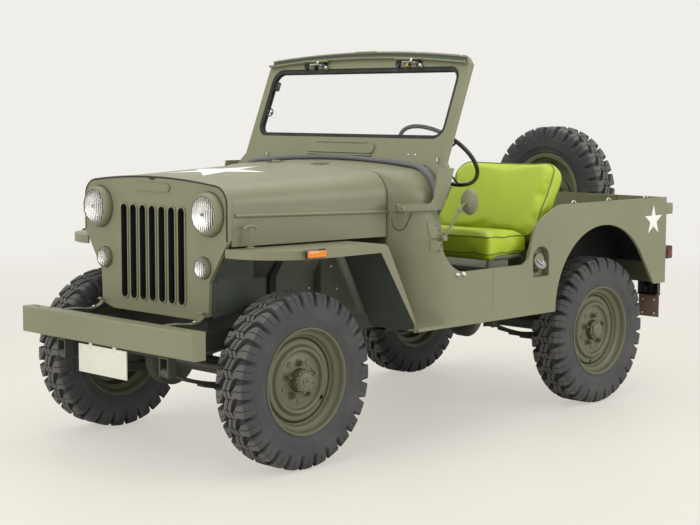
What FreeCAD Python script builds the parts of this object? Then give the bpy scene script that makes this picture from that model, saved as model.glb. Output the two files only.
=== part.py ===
import FreeCAD, Part
import math
import os

# A light army 4x4 car with a folding windshield, a lifting hood and a tailgate that carries the spare wheel.
# Lengths are in millimetres. While it is built, +X points forward from the front axle,
# +Y to the car's left and +Z up from the floor. Before export it all moves forward by `forward_shift`,
# so that the origin lies on the floor below the middle of the car's box.

V = FreeCAD.Vector

# Driving sizes
wheelbase = 2032.0
half_track = 616.0
tyre_radius = 366.0
tyre_half_width = 90.0
front_reach = 511.0
tub_half_width = 749.0
rear_overhang = 488.0
tub_rear_x = -wheelbase - rear_overhang
tub_bottom_z = 510.0
rail_z = 1018.0

# Clearances and general values
seat_gap = 0.3
run_gap = 0.05
body_gap = 6.0
overrun = 40.0

# Wheels
rim_half_width = 75.0
flange_radius = 220.0
bead_radius = 203.0
well_radius = 176.0
rim_sheet = 6.0
disc_face_y = 34.0
hub_radius = 46.0
hub_reach = 78.0
drum_radius = 138.0
drum_depth = 52.0
spindle_radius = 22.0
spindle_reach = 24.0
wheel_nuts = 5
nut_circle_radius = 70.0
nut_radius = 11.0
nut_height = 14.0

# Tyres
tyre_sides = 48
tread_half_width = 76.0
shoulder_drop = 14.0
sidewall_radius = 280.0
tyre_foot_half_width = 69.0

# Axles, knuckles and springs
axle_tube_radius = 38.0
kingpin_offset = 112.0
ball_radius = 62.0
knuckle_wall = 15.0
knuckle_lap = 12.0
kingpin_cap_radius = 30.0
kingpin_cap_height = 14.0
backing_gap = 3.0
backing_thickness = 5.0
diff_y = -190.0
diff_radius = 122.0
diff_half_width = 75.0
spring_y = 353.0
spring_width = 44.0
spring_half_length = 450.0
spring_rise = 92.0
leaf_thickness = 8.0
leaf_count = 5
spring_eye_radius = 20.0
shackle_thickness = 8.0
arm_length = 190.0
arm_thickness = 20.0
arm_width = 36.0
tie_rod_radius = 13.0
tie_eye_radius = 20.0
tie_pin_radius = 8.0

# Frame
rail_outer_y = 371.0
rail_width = 45.0
rail_bottom_z = 482.0
rail_height = 76.0
rail_kick = 70.0
rail_front_x = 440.0
rail_end_inset = 20.0
rail_rear_x = tub_rear_x + rail_end_inset
cross_half_depth = 40.0
cross_height = 50.0
skid_wall = 8.0
skid_rear_x = -1060.0
skid_length = 160.0

# Bumper
bumper_half_length = 587.0
bumper_bottom_z = 493.0
bumper_height = 113.0
bumper_depth = 65.0
bumper_wall = 8.0

# Tub
side_wall = 14.0
floor_wall = 8.0
floor_z = 570.0
load_floor_z = 690.0
toe_x = -700.0
cowl_front_x = -613.0
cowl_sweep = 189.0
cowl_half_width = tub_half_width - cowl_sweep
sweep_start_x = -860.0
cowl_seam_z = 905.0
cowl_rear_x = -905.0
cowl_edge_sweep = 36.0
door_front_x = -778.0
door_sill_z = 751.0
door_front_corner = 140.0
door_rear_corner = 60.0
door_rear_z = 930.0
door_rear_bend = 190.0
rail_sweep = 160.0
rail_sweep_x = -1604.0
door_rear_x = -1412.0
door_sill_end_x = -1370.0
rear_edge_z = 575.0
arch_top_z = 902.0
arch_lead = 13.0
arch_round_lead = 33.0
arch_foot_flare = 18.0
arch_centre_x = arch_lead - wheelbase
arch_radius = 385.0
arch_round_x = arch_centre_x + arch_round_lead
house_top_z = 925.0
house_wall = 8.0
corner_width = 292.0
gate_half_width = tub_half_width - corner_width
house_clearance = 13.0
house_inner_y = gate_half_width + house_clearance
gate_gap = 5.0
gate_thickness = 24.0
gate_bottom_z = 606.0

# Cowl and hood
cowl_wall = 10.0
cowl_crown_z = 1232.0
hood_wall = 10.0
hood_front_x = 240.0
hood_half_width = 478.0
hood_front_crown_z = 1184.0
hood_rear_crown_z = 1222.0
crown_drop = 24.0
hood_shoulder = 76.0
seam_shoulder = 110.0
cowl_shoulder = 190.0
cowl_lean = 110.0
dash_x = -850.0
dash_bottom_z = 1045.0
cowl_foot_z = 1130.0
hood_bottom_z = 915.0
hood_rib_radius = 9.0
hood_rib_z = 1040.0
hood_rib_front_gap = 16.0
hood_hinge_x = -610.0
hood_hinge_y = 150.0
hood_hinge_z = 1225.0
hood_strap = 20.0
hood_ear_radius = 5.0
hood_pin_radius = 3.0
hood_ear_width = 20.0

cowl_stations = 6

# Grille
grille_thickness = 20.0
grille_bottom_z = 601.0
grille_foot_half_width = 360.0
grille_waist_z = 764.0
grille_shoulder_z = 930.0
slot_count = 7
slot_pitch = 64.7
slot_width = 41.0
slot_bottom_z = 656.0
slot_top_z = 1061.0
slot_lip = 6.0
slot_lip_height = 5.0
lamp_y = 370.0
lamp_z = 1043.0
lamp_radius = 90.0
lens_radius = 73.0
lamp_reach = 22.0
lens_rise = 20.0
lamp_depth = 90.0
park_y = 333.0
park_z = 821.0
park_radius = 44.0
park_lens_radius = 38.0
park_reach = 16.0
park_lens_rise = 12.0
park_depth = 40.0
radiator_half_width = 250.0
radiator_bottom_z = 630.0
radiator_top_z = 1090.0
radiator_depth = 70.0
radiator_gap = 30.0

# Fenders
fender_top_z = 907.0
fender_wall = 8.0
fender_skirt = 36.0
fender_front_x = 240.0
fender_inner_y = 466.3
fender_corner_radius = 265.0
fender_rear_x = -412.0
fender_leg_x = -619.0
fender_leg_width = 36.0
apron_bottom_z = 652.0

# Windshield
lean = 21.8
shield_base_x = -861.0
shield_base_z = 1180.0
shield_inset = 91.0
shield_half_width = tub_half_width - shield_inset
shield_depth = 34.0
shield_post_width = 40.0
glass_half_width = shield_half_width - shield_post_width
glass_bottom_z = 1329.0
glass_top_z = 1656.0
shield_header = 48.0
shield_corner_z = glass_top_z + shield_header
shield_crown = 30.0
shield_top_z = shield_corner_z + shield_crown
glass_corner = 62.0
glass_thickness = 6.0
seal_width = 12.0
shield_foot_gap = 4.0
pivot_x = -600.0
pivot_z = 1045.0
pivot_radius = 9.0
arm_depth = 30.0
shield_arm_wall = 10.0
arm_rear_inset = 42.0
arm_rear_y = tub_half_width - arm_rear_inset
arm_sweep = 67.0
arm_front_y = arm_rear_y - arm_sweep
arm_bend_x = -720.0
arm_bend_inset = 7.0
arm_bend_y = arm_rear_y - arm_bend_inset
bracket_reach = 30.0
bracket_y = cowl_half_width + bracket_reach
vent_half_width = 220.0
vent_bottom_z = 1236.0
vent_top_z = 1304.0
vent_thickness = 8.0

# Steering wheel
steer_x = -1150.0
steer_y = 382.0
steer_z = 1249.0
steer_tilt = 46.5
steer_ring_radius = 203.0
steer_grip_radius = 10.0
steer_hub_radius = 30.0
steer_hub_height = 40.0
column_radius = 22.0
column_length = 880.0

# Seats
seat_inner_y = 12.0
seat_side_gap = 44.0
seat_outer_y = tub_half_width - seat_side_gap
cushion_front_x = -1140.0
cushion_depth = 330.0
cushion_rear_x = cushion_front_x - cushion_depth
seat_step_x = cushion_rear_x + overrun / 2
cushion_bottom_z = 796.0
cushion_top_z = 890.0
back_thickness = 115.0
back_height = 455.0
back_recline = 30.0
seat_tube_radius = 12.0

# Tailgate hinge
gate_hinge_offset = 8.0
gate_hinge_x = tub_rear_x - gate_hinge_offset
gate_hinge_z = 600.0
gate_pin_radius = 4.0
gate_ear_radius = 8.0
gate_ear_width = 24.0

# Spare wheel
spare_y = -70.0
spare_z = 1006.0
spare_offset = 123.0
spare_x = tub_rear_x - spare_offset

forward_shift = (tyre_half_width - spare_x - front_reach) / 2
steer_slope = math.radians(steer_tilt)
slope = math.tan(math.radians(lean))
knuckle_y = half_track - kingpin_offset


def in_xz(y):
    return lambda u, v: V(u, y, v)


def in_yz(x):
    return lambda u, v: V(x, u, v)


def in_xy(z):
    return lambda u, v: V(u, v, z)


def arc_through(a, b, c):
    return Part.Arc(a, b, c).toShape()


def outline(points, place):
    # A closed wire through (u, v) or (u, v, corner radius) points, with a tangent arc at each radius.
    count = len(points)
    ends = []
    for i, point in enumerate(points):
        here = V(point[0], point[1], 0)
        radius = point[2] if len(point) > 2 else 0
        if radius == 0:
            ends.append((here, here, here))
            continue
        before = V(points[i - 1][0], points[i - 1][1], 0) - here
        after = V(points[(i + 1) % count][0], points[(i + 1) % count][1], 0) - here
        before.normalize()
        after.normalize()
        half = before.getAngle(after) / 2
        reach = radius / math.tan(half)
        middle = before + after
        middle.normalize()
        nose = radius / math.sin(half) - radius
        ends.append((here + before * reach, here + middle * nose, here + after * reach))
    edges = []
    for i, (start, nose, end) in enumerate(ends):
        if start != end:
            edges.append(arc_through(place(start.x, start.y), place(nose.x, nose.y), place(end.x, end.y)))
        following = ends[(i + 1) % count][0]
        if end.distanceToPoint(following) > seat_gap / 100:
            edges.append(Part.LineSegment(place(end.x, end.y), place(following.x, following.y)).toShape())
    return Part.Wire(edges)


def plate(points, place, direction):
    return Part.Face(outline(points, place)).extrude(direction)


def block(low, high):
    size = high - low
    return Part.makeBox(size.x, size.y, size.z, low)


def strip(path, thickness):
    # The closed outline of a sheet whose left side runs along `path`.
    offset = []
    for i, (u, v) in enumerate(path):
        normals = []
        for a, b in ((i - 1, i), (i, i + 1)):
            if a >= 0 and b < len(path):
                run = V(path[b][0] - path[a][0], path[b][1] - path[a][1], 0)
                run.normalize()
                normals.append(V(run.y, -run.x, 0))
        normal = normals[0] + normals[-1]
        normal.normalize()
        step = thickness / normal.dot(normals[0])
        offset.append((u + normal.x * step, v + normal.y * step))
    return list(path) + offset[::-1]


def turned(points, centre, axis):
    # A body turned about `axis` from a half outline of (radius, height) points.
    half = Part.Face(outline(points, in_xz(0)))
    body = half.revolve(V(0, 0, 0), V(0, 0, 1), 360)
    body.Placement = FreeCAD.Placement(centre, FreeCAD.Rotation(V(0, 0, 1), axis))
    return body


def rod(start, end, radius):
    return Part.makeCylinder(radius, (end - start).Length, start, end - start)


def bent_tube(points, radius, bend):
    # A round tube along straight runs that are joined by arcs.
    edges = []
    start = points[0]
    for before, here, after in zip(points, points[1:], points[2:]):
        back = before - here
        onward = after - here
        back.normalize()
        onward.normalize()
        half = back.getAngle(onward) / 2
        reach = bend / math.tan(half)
        middle = back + onward
        middle.normalize()
        nose = here + middle * (bend / math.sin(half) - bend)
        edges.append(Part.LineSegment(start, here + back * reach).toShape())
        edges.append(arc_through(here + back * reach, nose, here + onward * reach))
        start = here + onward * reach
    edges.append(Part.LineSegment(start, points[-1]).toShape())
    path = Part.Wire(edges)
    circle = Part.Wire(Part.makeCircle(radius, points[0], points[1] - points[0]))
    return path.makePipeShell([circle], True, False)


def fused(shapes):
    body = shapes[0]
    for other in shapes[1:]:
        body = body.fuse(other)
    return body.removeSplitter()


def mirrored(shape):
    return shape.mirror(V(0, 0, 0), V(0, 1, 0))


def pair(shape):
    return Part.makeCompound([shape, mirrored(shape)])


def moved(shape, offset):
    copy = shape.copy()
    copy.translate(offset)
    return copy


# Wheels and tyres

def ring_solid(profile, sides):
    # A faceted ring about +Y from a closed outline of (radius, y) points, with one corner straight down.
    rings = []
    for radius, y in profile:
        turn = [math.radians(360 * k / sides - 90) for k in range(sides)]
        rings.append([V(radius * math.cos(a), y, radius * math.sin(a)) for a in turn])
    faces = []
    for i, ring in enumerate(rings):
        following = rings[(i + 1) % len(rings)]
        for k in range(sides):
            n = (k + 1) % sides
            loop = Part.makePolygon([ring[k], ring[n], following[n], following[k], ring[k]])
            faces.append(Part.Face(loop))
    body = Part.Solid(Part.Shell(faces))
    if body.Volume < 0:
        body.reverse()
    return body


def tyre_shape():
    flat = math.cos(math.pi / tyre_sides)
    foot = (bead_radius + seat_gap) / flat
    heel = (flange_radius + seat_gap) / flat
    shoulder = tyre_radius - shoulder_drop
    half = [
        (foot, tyre_foot_half_width),
        (heel, tyre_foot_half_width),
        (sidewall_radius, tyre_half_width),
        (shoulder, (tyre_half_width + tread_half_width) / 2),
        (tyre_radius, tread_half_width),
    ]
    profile = half + [(radius, -y) for radius, y in half[::-1]]
    return ring_solid(profile, tyre_sides)


def rim_and_disc():
    # Rim and dished disc as turned sheets about +Y, outboard side towards +Y, with the wheel nuts.
    step_y = rim_half_width - bead_radius / 5
    barrel = [
        (flange_radius, -rim_half_width),
        (bead_radius, -tyre_foot_half_width),
        (bead_radius, -step_y),
        (well_radius, -step_y / 2),
        (well_radius, step_y / 2),
        (bead_radius, step_y),
        (bead_radius, tyre_foot_half_width),
        (flange_radius, rim_half_width),
    ]
    disc = [
        (well_radius - rim_sheet / 2, 0),
        (well_radius - rim_sheet * 2, disc_face_y - rim_sheet),
        (well_radius - rim_sheet * 8, disc_face_y),
        (well_radius - rim_sheet * 10, disc_face_y - rim_sheet),
        (drum_radius - hub_radius, disc_face_y),
        (drum_radius - hub_radius - rim_sheet, disc_face_y + rim_sheet * 2),
        (hub_radius - rim_sheet, disc_face_y + rim_sheet * 2),
    ]
    parts = [
        turned(strip(barrel, -rim_sheet), V(0, 0, 0), V(0, 1, 0)),
        turned(strip(disc, rim_sheet), V(0, 0, 0), V(0, 1, 0)),
    ]
    for k in range(wheel_nuts):
        turn = 2 * math.pi * k / wheel_nuts
        base = V(nut_circle_radius * math.cos(turn), disc_face_y + rim_sheet * 2, nut_circle_radius * math.sin(turn))
        parts.append(rod(base, base + V(0, rim_sheet + nut_height, 0), nut_radius))
    return fused(parts)


def wheel_shape(bore):
    # The wheel with its brake drum and hub, bored for the axle stub.
    drum_back = disc_face_y - drum_depth - rim_sheet
    drum = [
        (spindle_radius + run_gap, drum_back + rim_sheet),
        (drum_radius - rim_sheet, drum_back + rim_sheet),
        (drum_radius - rim_sheet, drum_back),
        (drum_radius, drum_back),
        (drum_radius, disc_face_y - rim_sheet * 2),
        (spindle_radius + run_gap, disc_face_y - rim_sheet * 2),
    ]
    hub = [
        (0, disc_face_y - rim_sheet * 2),
        (hub_radius, disc_face_y - rim_sheet * 2),
        (hub_radius, hub_reach - rim_sheet),
        (hub_radius - rim_sheet, hub_reach),
        (0, hub_reach),
    ]
    parts = [rim_and_disc()] + [turned(points, V(0, 0, 0), V(0, 1, 0)) for points in (drum, hub)]
    return fused(parts).cut(bore)


def wheel_at(shape, centre, side):
    placed = shape if side > 0 else mirrored(shape)
    return moved(placed, centre)


def stub_bore():
    start = V(0, disc_face_y - drum_depth - overrun, 0)
    return rod(start, V(0, spindle_reach + seat_gap, 0), spindle_radius + run_gap)


# Axles, knuckles and springs

def backing_plate(wheel_y):
    face = wheel_y + disc_face_y - drum_depth - rim_sheet - backing_gap
    return rod(V(0, face - backing_thickness, tyre_radius), V(0, face, tyre_radius), drum_radius)


def stub(wheel_y, start_y):
    return rod(V(0, start_y, tyre_radius), V(0, wheel_y + spindle_reach, tyre_radius), spindle_radius)


def differential():
    nose = diff_radius - diff_half_width / 2
    bowl = [
        (0, -diff_half_width),
        (nose / 2, -diff_half_width),
        (diff_radius, -diff_half_width / 3),
        (diff_radius, diff_half_width / 3),
        (nose / 2, diff_half_width),
        (0, diff_half_width),
    ]
    return turned(bowl, V(0, diff_y, tyre_radius), V(0, 1, 0))


def front_axle():
    ball = Part.makeSphere(ball_radius, V(0, knuckle_y, tyre_radius))
    tube = rod(V(0, -knuckle_y, tyre_radius), V(0, knuckle_y, tyre_radius), axle_tube_radius)
    pinion = rod(V(0, diff_y, tyre_radius), V(-diff_radius - axle_tube_radius, diff_y, tyre_radius), axle_tube_radius)
    return fused([tube, ball, mirrored(ball), differential(), pinion])


def rear_axle():
    tube_end = half_track + disc_face_y - drum_depth - rim_sheet - backing_gap
    tube = rod(V(0, -tube_end, tyre_radius), V(0, tube_end, tyre_radius), axle_tube_radius)
    plate_left = backing_plate(half_track)
    stub_left = stub(half_track, tube_end)
    pinion = rod(V(0, diff_y, tyre_radius), V(diff_radius + axle_tube_radius, diff_y, tyre_radius), axle_tube_radius)
    solids = [tube, plate_left, mirrored(plate_left), stub_left, mirrored(stub_left), differential(), pinion]
    return moved(fused(solids), V(-wheelbase, 0, 0))


def knuckle():
    centre = V(0, knuckle_y, tyre_radius)
    outer_radius = ball_radius + seat_gap + knuckle_wall
    shell = Part.makeSphere(outer_radius, centre)
    keep = block(
        V(-outer_radius, knuckle_y - knuckle_lap, tyre_radius - outer_radius),
        V(outer_radius, knuckle_y + outer_radius, tyre_radius + outer_radius),
    )
    cap = rod(
        centre - V(0, 0, outer_radius + kingpin_cap_height),
        centre + V(0, 0, outer_radius + kingpin_cap_height),
        kingpin_cap_radius,
    )
    plate_face = half_track + disc_face_y - drum_depth - rim_sheet - backing_gap
    spindle = stub(half_track, knuckle_y + ball_radius)
    flange = rod(V(0, knuckle_y, tyre_radius), V(0, plate_face, tyre_radius), ball_radius - knuckle_wall)
    arm_low = tyre_radius + arm_thickness / 2
    arm = block(
        V(0, knuckle_y - arm_width / 2, arm_low),
        V(arm_length, knuckle_y + arm_width / 2, arm_low + arm_thickness),
    )
    eye = rod(V(arm_length, knuckle_y, arm_low), V(arm_length, knuckle_y, arm_low + arm_thickness), arm_width / 2)
    pin = rod(
        V(arm_length, knuckle_y, arm_low + arm_thickness),
        V(arm_length, knuckle_y, arm_low + arm_thickness * 3),
        tie_pin_radius,
    )
    body = fused([shell.common(keep), cap, flange, backing_plate(half_track), spindle, arm, eye, pin])
    ball = Part.makeSphere(ball_radius + seat_gap, centre)
    return body.cut(ball)


def tie_rod():
    low = tyre_radius + arm_thickness * 3 / 2 + seat_gap
    high = low + arm_thickness * 3 / 2
    centre = (low + high) / 2
    bar = rod(V(arm_length, -knuckle_y, centre), V(arm_length, knuckle_y, centre), tie_rod_radius)
    eye = rod(V(arm_length, knuckle_y, low), V(arm_length, knuckle_y, high), tie_eye_radius)
    hole = rod(
        V(arm_length, knuckle_y, low - overrun),
        V(arm_length, knuckle_y, high + overrun),
        tie_pin_radius + run_gap,
    )
    return fused([bar, eye, mirrored(eye)]).cut(hole).cut(mirrored(hole))


def leaf_spring():
    # A pack of curved leaves with an eye at each end, its top under the axle tube.
    top = tyre_radius - axle_tube_radius - seat_gap
    rise = spring_rise
    radius = (spring_half_length ** 2 + rise ** 2) / (2 * rise)
    centre_z = top + radius
    reach = math.asin(spring_half_length / radius)
    side_y = spring_y - spring_width / 2
    leaves = []
    for k in range(leaf_count):
        inner = radius + leaf_thickness * k
        outer = inner + leaf_thickness
        span = reach * (leaf_count - k) / leaf_count
        corners = []
        for r, a in ((inner, -span), (inner, 0), (inner, span), (outer, span), (outer, 0), (outer, -span)):
            corners.append(V(r * math.sin(a), side_y, centre_z - r * math.cos(a)))
        edges = [
            arc_through(corners[0], corners[1], corners[2]),
            Part.LineSegment(corners[2], corners[3]).toShape(),
            arc_through(corners[3], corners[4], corners[5]),
            Part.LineSegment(corners[5], corners[0]).toShape(),
        ]
        leaves.append(Part.Face(Part.Wire(edges)).extrude(V(0, spring_width, 0)))
    eye_z = top + rise - leaf_thickness / 2
    for end in (-1, 1):
        eye_x = end * spring_half_length
        leaves.append(rod(V(eye_x, side_y, eye_z), V(eye_x, side_y + spring_width, eye_z), spring_eye_radius))
    return fused(leaves)


def shackle(x):
    # Two plates from a spring eye up to the frame rail.
    eye_z = tyre_radius - axle_tube_radius - seat_gap + spring_rise - leaf_thickness / 2
    outer = spring_y + spring_width / 2
    inner = spring_y - spring_width / 2
    high_z = rail_bottom_z - seat_gap
    half = spring_eye_radius
    cheeks = []
    for y in (inner - shackle_thickness, outer):
        low = V(x - half, y, eye_z - half)
        cheeks.append(block(low, V(x + half, y + shackle_thickness, high_z)))
    bridge = block(
        V(x - half, inner - shackle_thickness, high_z - shackle_thickness),
        V(x + half, outer + shackle_thickness, high_z),
    )
    return fused(cheeks + [bridge])


def leaf_springs():
    one = leaf_spring()
    solids = []
    for x in (0, -wheelbase):
        parts = [one, shackle(spring_half_length), shackle(-spring_half_length)]
        whole = moved(fused(parts), V(x, 0, 0))
        solids += [whole, mirrored(whole)]
    return Part.makeCompound(solids)


def shock_absorbers():
    solids = []
    foot_z = tyre_radius - axle_tube_radius
    for x in (0, -wheelbase):
        y = rail_outer_y + axle_tube_radius
        foot_y = spring_y + spring_width / 2 + seat_gap
        lower = V(x - axle_tube_radius * 2, y, foot_z)
        upper = V(x - axle_tube_radius * 3, y, rail_bottom_z + rail_height)
        middle = lower + (upper - lower) * 0.5
        eye = rod(V(lower.x, foot_y, foot_z), V(lower.x, y, foot_z), spring_eye_radius / 2)
        top = rod(V(upper.x, rail_outer_y + seat_gap, upper.z), V(upper.x, y, upper.z), spring_eye_radius / 2)
        damper = fused([rod(lower, middle, spring_eye_radius), rod(middle, upper, spring_eye_radius * 1.3), eye, top])
        solids += [damper, mirrored(damper)]
    return Part.makeCompound(solids)


# Frame and bumper

def frame_rails():
    low = rail_bottom_z
    high = low + rail_height
    kick = rail_kick
    axle = -wheelbase
    reach = spring_half_length
    path = [
        (rail_front_x, high),
        (axle + reach, high),
        (axle + reach / 2, high + kick / 2),
        (axle - reach / 2, high + kick / 2),
        (axle - reach, high),
        (rail_rear_x, high),
    ]
    rail = plate(strip(path, -rail_height), in_xz(rail_outer_y - rail_width), V(0, rail_width, 0))
    return pair(rail)


def frame_crossmembers():
    # Two box members and, under the gearbox, a plate that hangs between the rails.
    half = rail_outer_y - rail_width - seat_gap
    mid_z = rail_bottom_z + rail_height / 2
    solids = []
    for x in (hood_front_x, rail_rear_x + cross_half_depth * 2):
        low = V(x - cross_half_depth, -half, mid_z - cross_height / 2)
        high = V(x + cross_half_depth, half, mid_z + cross_height / 2)
        solids.append(block(low, high))
    low_z = gearbox_bottom_z - seat_gap - skid_wall
    path = [
        (half, mid_z + cross_height / 2),
        (half, mid_z - cross_height / 2),
        (half - cross_height, low_z),
        (-half + cross_height, low_z),
        (-half, mid_z - cross_height / 2),
        (-half, mid_z + cross_height / 2),
    ]
    hanger = plate(strip(path, skid_wall), in_yz(skid_rear_x), V(skid_length, 0, 0))
    return Part.makeCompound(solids + [hanger])


def front_bumper():
    back = front_reach - bumper_depth
    high = bumper_bottom_z + bumper_height
    half = bumper_half_length
    outer = block(V(back, -half, bumper_bottom_z), V(front_reach, half, high))
    outer = outer.makeFillet(bumper_wall, [e for e in outer.Edges if abs(e.CenterOfMass.x - front_reach) < seat_gap])
    inner = block(
        V(back - overrun, -half + bumper_wall, bumper_bottom_z + bumper_wall),
        V(front_reach - bumper_wall, half - bumper_wall, high - bumper_wall),
    )
    horn = block(
        V(rail_front_x + seat_gap, rail_outer_y - rail_width, bumper_bottom_z + bumper_wall),
        V(front_reach - bumper_wall, rail_outer_y, high - bumper_wall),
    )
    return fused([outer.cut(inner), horn, mirrored(horn)])


# Tub

def sweep_half_width(x):
    # Half width of the body where its sides sweep in towards the hood.
    run = cowl_front_x - sweep_start_x
    drop = tub_half_width - cowl_half_width
    radius = (run * run + drop * drop) / (2 * drop)
    depth = min(max(0, x - sweep_start_x), run)
    return tub_half_width - radius + math.sqrt(radius * radius - depth * depth)


def tub_plan(inset, low_z, high_z):
    # The body's outline from above, drawn in by `inset`, as an upright prism.
    middle_x = (cowl_front_x + sweep_start_x) / 2
    a = V(tub_rear_x + inset, tub_half_width - inset, low_z)
    b = V(sweep_start_x, tub_half_width - inset, low_z)
    c = V(middle_x, sweep_half_width(middle_x) - inset, low_z)
    d = V(cowl_front_x, cowl_half_width - inset, low_z)

    def other(p):
        return V(p.x, -p.y, p.z)

    edges = [
        Part.LineSegment(a, b).toShape(),
        arc_through(b, c, d),
        Part.LineSegment(d, other(d)).toShape(),
        arc_through(other(d), other(c), other(b)),
        Part.LineSegment(other(b), other(a)).toShape(),
        Part.LineSegment(other(a), a).toShape(),
    ]
    return Part.Face(Part.Wire(edges)).extrude(V(0, 0, high_z - low_z))


def side_silhouette():
    # The tub side from the cowl back, with the door opening and the wheel arch.
    sill = door_sill_z
    points = [
        (cowl_front_x, tub_bottom_z),
        (arch_round_x + arch_radius + arch_foot_flare, tub_bottom_z),
        (arch_round_x + arch_radius, arch_top_z, arch_radius),
        (arch_round_x - arch_radius / 2, arch_top_z, arch_radius),
        (arch_round_x - arch_radius * 1.12, rear_edge_z, overrun / 2),
        (tub_rear_x, rear_edge_z),
        (tub_rear_x, rail_z),
        (rail_sweep_x, rail_z, rail_sweep),
        (door_rear_x, door_rear_z, door_rear_bend),
        (door_sill_end_x, sill, door_rear_corner),
        (door_front_x, sill, door_front_corner),
        (door_front_x, cowl_seam_z),
        (cowl_front_x, cowl_seam_z),
    ]
    return plate(points, in_xz(0), V(0, tub_half_width + overrun, 0))


def tub_sides():
    shell = tub_plan(0, tub_bottom_z - overrun, rail_z + overrun)
    shell = shell.cut(tub_plan(side_wall, tub_bottom_z - overrun * 2, rail_z + overrun * 2))
    left = shell.common(side_silhouette())
    inner = block(
        V(tub_rear_x - overrun, 0, tub_bottom_z - overrun),
        V(tub_rear_x + side_wall, tub_half_width - side_wall, rail_z + overrun),
    )
    return left.cut(inner)


def rear_corner():
    low = V(tub_rear_x, gate_half_width, rear_edge_z)
    high = V(tub_rear_x + gate_thickness, tub_half_width - side_wall - seat_gap, rail_z)
    return block(low, high)


def wheel_well_space(grow):
    # The space under a rear wheel house, grown outwards by `grow`.
    front = arch_centre_x + arch_radius * 1.15 + grow
    rear = arch_centre_x - arch_radius * 1.15 - grow
    corner = arch_radius / 2
    points = [
        (front, tub_bottom_z - overrun),
        (front, house_top_z - house_wall + grow, corner),
        (rear, house_top_z - house_wall + grow, corner),
        (rear, tub_bottom_z - overrun),
    ]
    depth = tub_half_width - side_wall - seat_gap - house_inner_y - house_wall + grow
    return plate(points, in_xz(house_inner_y + house_wall - grow), V(0, depth, 0))


def wheel_house():
    shell = wheel_well_space(house_wall).cut(wheel_well_space(0))
    cut_low = block(
        V(tub_rear_x - overrun, 0, 0),
        V(0, tub_half_width, load_floor_z - floor_wall),
    )
    behind = block(V(tub_rear_x * 2, 0, 0), V(tub_rear_x + gate_thickness + seat_gap, tub_half_width, rail_z))
    return shell.cut(cut_low).cut(behind)


def tub_floor():
    path = [
        (cowl_front_x - floor_wall, cowl_seam_z - seat_gap),
        (cowl_front_x - floor_wall, floor_z + (cowl_front_x - toe_x) * 2),
        (toe_x, floor_z),
        (seat_step_x, floor_z),
        (seat_step_x, load_floor_z),
        (tub_rear_x + gate_thickness + floor_wall + seat_gap, load_floor_z),
        (tub_rear_x + gate_thickness + floor_wall + seat_gap, rear_edge_z),
    ]
    sheet = plate(strip(path, -floor_wall), in_xz(-tub_half_width), V(0, tub_half_width * 2, 0))
    sheet = sheet.common(tub_plan(side_wall + seat_gap, rear_edge_z - overrun, cowl_crown_z))
    well = wheel_well_space(house_wall + seat_gap)
    sheet = sheet.cut(well).cut(mirrored(well))
    hole = steering_shaft(column_radius + seat_gap)
    return sheet.cut(hole).cut(filler_space(seat_gap))


def cowl_section(x, foot_half, top_half, crown_z, shoulder, inset, low_z):
    # A closed hood or cowl section across the car: straight sides, round shoulders and a crowned top.
    half = top_half - inset
    radius = shoulder - inset
    edge_z = crown_z - crown_drop - inset
    knee = edge_z - radius
    turn = radius * (1 - math.sqrt(0.5))

    def both(y, z):
        return V(x, y, z), V(x, -y, z)

    foot, foot_r = both(foot_half - inset, low_z)
    side, side_r = both(half, knee)
    bulge, bulge_r = both(half - turn, edge_z - turn)
    start, start_r = both(half - radius, edge_z)
    edges = [
        Part.LineSegment(foot, side).toShape(),
        arc_through(side, bulge, start),
        arc_through(start, V(x, 0, crown_z - inset), start_r),
        arc_through(start_r, bulge_r, side_r),
        Part.LineSegment(side_r, foot_r).toShape(),
        Part.LineSegment(foot_r, foot).toShape(),
    ]
    return Part.Wire(edges)


def between(low, high, share):
    return low + (high - low) * share


def hood_half(x):
    return between(hood_half_width, cowl_half_width, (hood_front_x - x) / (hood_front_x - cowl_front_x))


def hood_body(front_x, rear_x, inset, low_z):
    wires = []
    for x in (front_x, rear_x):
        share = (hood_front_x - x) / (hood_front_x - cowl_front_x)
        crown = between(hood_front_crown_z, hood_rear_crown_z, share)
        shoulder = between(hood_shoulder, seam_shoulder, share)
        wires.append(cowl_section(x, hood_half(x), hood_half(x), crown, shoulder, inset, low_z))
    return Part.makeLoft(wires, True, True)


def cowl_body(front_x, rear_x, inset):
    # The cowl between two stations, from its seam up, drawn in by `inset`.
    wires = []
    for k in range(cowl_stations + 1):
        x = between(front_x, rear_x, k / cowl_stations)
        share = (cowl_front_x - x) / (cowl_front_x - cowl_rear_x)
        half = sweep_half_width(x)
        crown = between(hood_rear_crown_z, cowl_crown_z, share)
        shoulder = between(seam_shoulder, cowl_shoulder, share)
        low_z = cowl_seam_z + seat_gap
        wires.append(cowl_section(x, half, half - cowl_lean * share, crown, shoulder, inset, low_z))
    return Part.makeLoft(wires, True, False)


def door_space():
    # What the door opening takes out of the cowl's rear edge.
    low = cowl_seam_z - overrun
    points = [
        (door_front_x, low),
        (door_front_x - cowl_edge_sweep, cowl_foot_z - overrun, overrun),
        (cowl_rear_x - overrun, cowl_foot_z + overrun / 2),
        (cowl_rear_x - overrun, low),
    ]
    return plate(points, in_xz(-tub_half_width - overrun), V(0, (tub_half_width + overrun) * 2, 0))


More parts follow.
